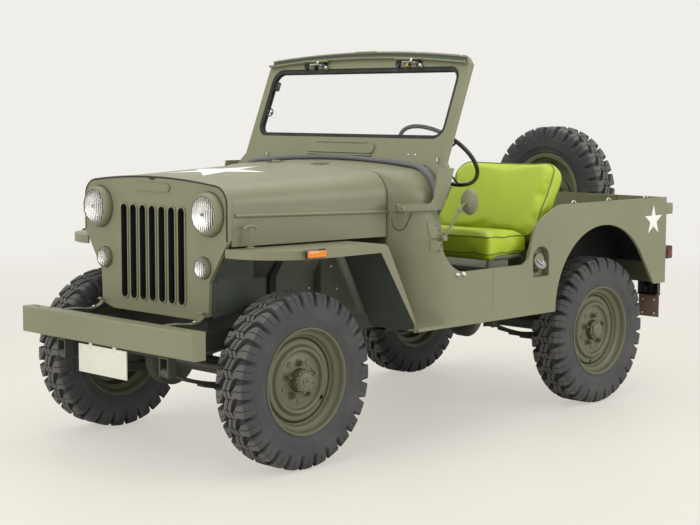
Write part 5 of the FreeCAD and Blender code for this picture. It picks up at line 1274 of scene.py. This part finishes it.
def floor_material(near, far, glow):
    """A pale floor that shades into the backdrop's colour with distance and keeps a soft shadow."""
    n = Nodes("floor_paint")
    reach = n.add("ShaderNodeVectorMath")
    reach.operation = "LENGTH"
    n.link(n.coords, reach.inputs[0])
    share = n.add("ShaderNodeMapRange")
    share.inputs["From Min"].default_value = 3.0
    share.inputs["From Max"].default_value = 9.0
    n.link(reach.outputs["Value"], share.inputs["Value"])
    tone = n.mix(share.outputs["Result"], near, far)
    n.colour(tone)
    n.rough(n.spread(n.noise(2.0), 0.4, 0.5))
    n.bump(n.noise(40.0), 0.02, 0.001)
    light = n.add("ShaderNodeEmission")
    n.link(tone, light.inputs["Color"])
    blend = n.add("ShaderNodeMixShader")
    part = n.add("ShaderNodeMapRange")
    part.inputs["To Min"].default_value = glow
    part.inputs["To Max"].default_value = 1.0
    n.link(share.outputs["Result"], part.inputs["Value"])
    level = n.add("ShaderNodeMath")
    level.operation = "MULTIPLY"
    n.link(part.outputs["Result"], level.inputs[0])
    n.link(any_ray(n.tree, "Is Camera Ray", "Is Transmission Ray"), level.inputs[1])
    n.link(level.outputs["Value"], blend.inputs["Fac"])
    n.link(n.shader.outputs["BSDF"], blend.inputs[1])
    n.link(light.outputs["Emission"], blend.inputs[2])
    n.link(blend.outputs["Shader"], n.tree.nodes["Material Output"].inputs["Surface"])
    return n.mat


BACKDROP = srgb(240, 238, 233)
REACH = 40  # the floor's half width in metres

ground = bpy.data.meshes.new("floor")
ground.from_pydata([(-REACH, -REACH, 0), (REACH, -REACH, 0), (REACH, REACH, 0), (-REACH, REACH, 0)], [], [(0, 1, 2, 3)])
ground.materials.append(floor_material(srgb(230, 226, 217), BACKDROP, 0.62))
floor_object = bpy.data.objects.new("floor", ground)
bpy.context.scene.collection.objects.link(floor_object)

world = bpy.data.worlds.new("studio")
bpy.context.scene.world = world
world.use_nodes = True
tree = world.node_tree
sky = tree.nodes["Background"]
sky.inputs["Color"].default_value = (1.0, 0.99, 0.965, 1.0)
sky.inputs["Strength"].default_value = 0.85
seen = tree.nodes.new("ShaderNodeBackground")
seen.inputs["Color"].default_value = BACKDROP
seen.inputs["Strength"].default_value = 1.0
either = tree.nodes.new("ShaderNodeMixShader")
tree.links.new(any_ray(tree, "Is Camera Ray", "Is Glossy Ray", "Is Transmission Ray"), either.inputs["Fac"])
tree.links.new(sky.outputs["Background"], either.inputs[1])
tree.links.new(seen.outputs["Background"], either.inputs[2])
tree.links.new(either.outputs["Shader"], tree.nodes["World Output"].inputs["Surface"])


def lamp(name, place, aim, size, power, colour=(1.0, 0.98, 0.95)):
    data = bpy.data.lights.new(name, "AREA")
    data.shape = "RECTANGLE"
    data.size, data.size_y = size
    data.energy = power
    data.color = colour
    obj = bpy.data.objects.new(name, data)
    obj.location = place
    obj.rotation_euler = (Vector(aim) - Vector(place)).to_track_quat("-Z", "Y").to_euler()
    bpy.context.scene.collection.objects.link(obj)


lamp("overhead", (0.0, 0.0, 4.8), (0.0, 0.0, 0.0), (7.0, 5.0), 150.0)
lamp("front_fill", (6.5, 0.0, 2.4), (0.0, 0.0, 0.8), (3.5, 2.5), 95.0)
lamp("left_fill", (-3.0, 6.5, 2.6), (-0.9, 0.0, 0.7), (4.0, 2.5), 150.0)

SENSOR = 36.0
PHOTO_WIDTH = 700
FOCAL_PIXELS = 1520.76
YAW, DIP, ROLL = -2.363, -0.102, -0.002

camera_data = bpy.data.cameras.new("camera")
camera_data.sensor_width = SENSOR
camera_data.lens = FOCAL_PIXELS * SENSOR / PHOTO_WIDTH
camera = bpy.data.objects.new("camera", camera_data)
camera.location = (5.332925, 5.100241, 1.478044)
look = Vector((math.cos(YAW) * math.cos(DIP), math.sin(YAW) * math.cos(DIP), math.sin(DIP)))
camera.rotation_mode = "QUATERNION"
camera.rotation_quaternion = look.to_track_quat("-Z", "Y") @ Quaternion((0, 0, 1), -ROLL)
bpy.context.scene.collection.objects.link(camera)
bpy.context.scene.camera = camera

bpy.context.scene.view_settings.view_transform = "Standard"
